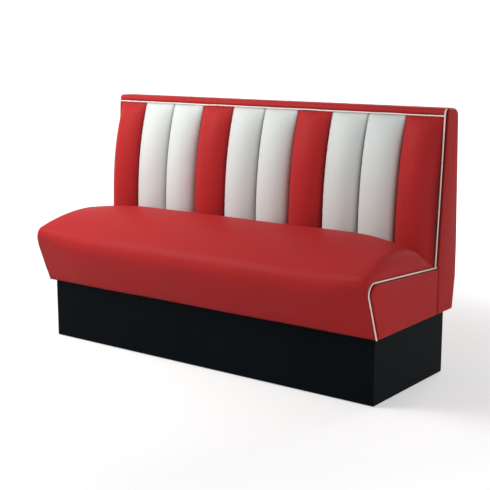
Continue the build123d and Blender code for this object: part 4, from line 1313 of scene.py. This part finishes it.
class BOOTH_OT_stage(bpy.types.Operator):
    """The pale floor, the lights and the camera"""

    bl_idname = "booth.stage"
    bl_label = "Stage"
    bl_options = {"REGISTER", "UNDO"}

    def execute(self, context):
        stage = context.scene.booth_stage
        self.add_floor(context, stage)
        self.set_world(context, stage)
        lamps = {
            "key_light": ((-1.35, -1.05, 2.0), 1.2, stage.key_power),
            "second_light": ((-0.95, -1.3, 2.15), 1.2, stage.second_power),
            "side_light": ((3.0, -1.0, 0.8), 1.0, stage.side_power),
            "rear_light": ((0.6, 3.4, 2.0), 2.0, stage.rear_power),
        }
        for name, (place, size, power) in lamps.items():
            self.add_lamp(context, name, Vector(place), size, power)
        self.add_camera(context, stage.lens)
        context.scene.view_settings.view_transform = "Standard"
        return {"FINISHED"}

    def add_floor(self, context, stage):
        """A wide pale floor that the camera sees as white, with the bench's shadow on it."""
        reach, near, far, paint = 40.0, 1.2, 4.0, (0.82, 0.82, 0.82, 1.0)
        corners = [(-reach, -reach, 0), (reach, -reach, 0), (reach, reach, 0), (-reach, reach, 0)]
        mesh = bpy.data.meshes.new("studio_floor")
        mesh.from_pydata(corners, [], [(0, 1, 2, 3)])
        floor = bpy.data.objects.new("studio_floor", mesh)
        context.scene.collection.objects.link(floor)
        material, tree, shader, place = new_finish("studio_floor_paint")
        away = add(tree, "ShaderNodeVectorMath", {0: place}, "Value", operation="LENGTH")
        level = {"Value": away, "From Min": near, "From Max": far}
        level = {**level, "To Min": stage.floor_near, "To Max": stage.floor_far}
        level = add(tree, "ShaderNodeMapRange", level)
        glow = shown_white(tree, 0.0, 1.0)
        glow = add(tree, "ShaderNodeMath", {0: glow, 1: level}, operation="MULTIPLY")
        wire(tree, shader, {"Base Color": paint, "Specular IOR Level": 0.0})
        wire(tree, shader, {"Emission Color": (1.0, 1.0, 1.0, 1.0), "Emission Strength": glow})
        mesh.materials.append(material)

    def set_world(self, context, stage):
        """An even world that lights at one level and shows white behind the floor's edge."""
        world = bpy.data.worlds.new("studio_world")
        context.scene.world = world
        world.use_nodes = True
        tree = world.node_tree
        tree.nodes.clear()
        strength = shown_white(tree, stage.world_level, 1.0)
        sky = add(tree, "ShaderNodeBackground", {"Color": (1.0, 1.0, 1.0, 1.0), "Strength": strength})
        add(tree, "ShaderNodeOutputWorld", {"Surface": sky})

    def add_lamp(self, context, name, place, size, power):
        """A square soft light that faces the bench."""
        target = Vector((-0.05, 0.0, 0.5))
        lamp = bpy.data.lights.new(name, "AREA")
        lamp.energy = power
        lamp.size = size
        holder = bpy.data.objects.new(name, lamp)
        context.scene.collection.objects.link(holder)
        holder.location = place
        holder.rotation_euler = (target - place).to_track_quat("-Z", "Y").to_euler()
        holder.visible_camera = False

    def add_camera(self, context, lens):
        """A camera at the height, distance and angle that the bench was photographed from."""
        place, direction = (2.405, -3.148, 1.187), Vector((-0.58823, 0.78605, -0.19004))
        camera = bpy.data.cameras.new("camera")
        camera.lens = lens
        camera.sensor_width = 36.0
        holder = bpy.data.objects.new("camera", camera)
        context.scene.collection.objects.link(holder)
        holder.location = place
        holder.rotation_euler = direction.to_track_quat("-Z", "Y").to_euler()
        context.scene.camera = holder


class BOOTH_PT_panel(bpy.types.Panel):
    """Lists the bench's operators"""

    bl_label = "Diner booth bench"
    bl_space_type = "VIEW_3D"
    bl_region_type = "UI"
    bl_category = "Booth"

    def draw(self, context):
        """One button for each operator."""
        for operator in operators:
            self.layout.operator(operator.bl_idname)


groups = {
    "booth_seat": SeatSizes,
    "booth_back": BackSizes,
    "booth_trim": TrimSizes,
    "booth_colours": BenchColours,
    "booth_stage": StageSettings,
}
operators = (
    BOOTH_OT_seat,
    BOOTH_OT_channels,
    BOOTH_OT_back_covers,
    BOOTH_OT_end_panels,
    BOOTH_OT_piping,
    BOOTH_OT_frame_finishes,
    BOOTH_OT_stage,
)


def register():
    """Registers the classes and hangs the groups of sizes on the scene."""
    for group in groups.values():
        bpy.utils.register_class(group)
    for name, group in groups.items():
        setattr(bpy.types.Scene, name, PointerProperty(type=group))
    for operator in operators:
        bpy.utils.register_class(operator)
    bpy.utils.register_class(BOOTH_PT_panel)


def unregister():
    """Undoes register."""
    bpy.utils.unregister_class(BOOTH_PT_panel)
    for operator in reversed(operators):
        bpy.utils.unregister_class(operator)
    for name, group in groups.items():
        delattr(bpy.types.Scene, name)
        bpy.utils.unregister_class(group)


def main():
    """Registers the add-on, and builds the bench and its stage."""
    register()
    for operator in operators:
        group, name = operator.bl_idname.split(".")
        getattr(getattr(bpy.ops, group), name)()


if __name__ == "__main__":
    main()
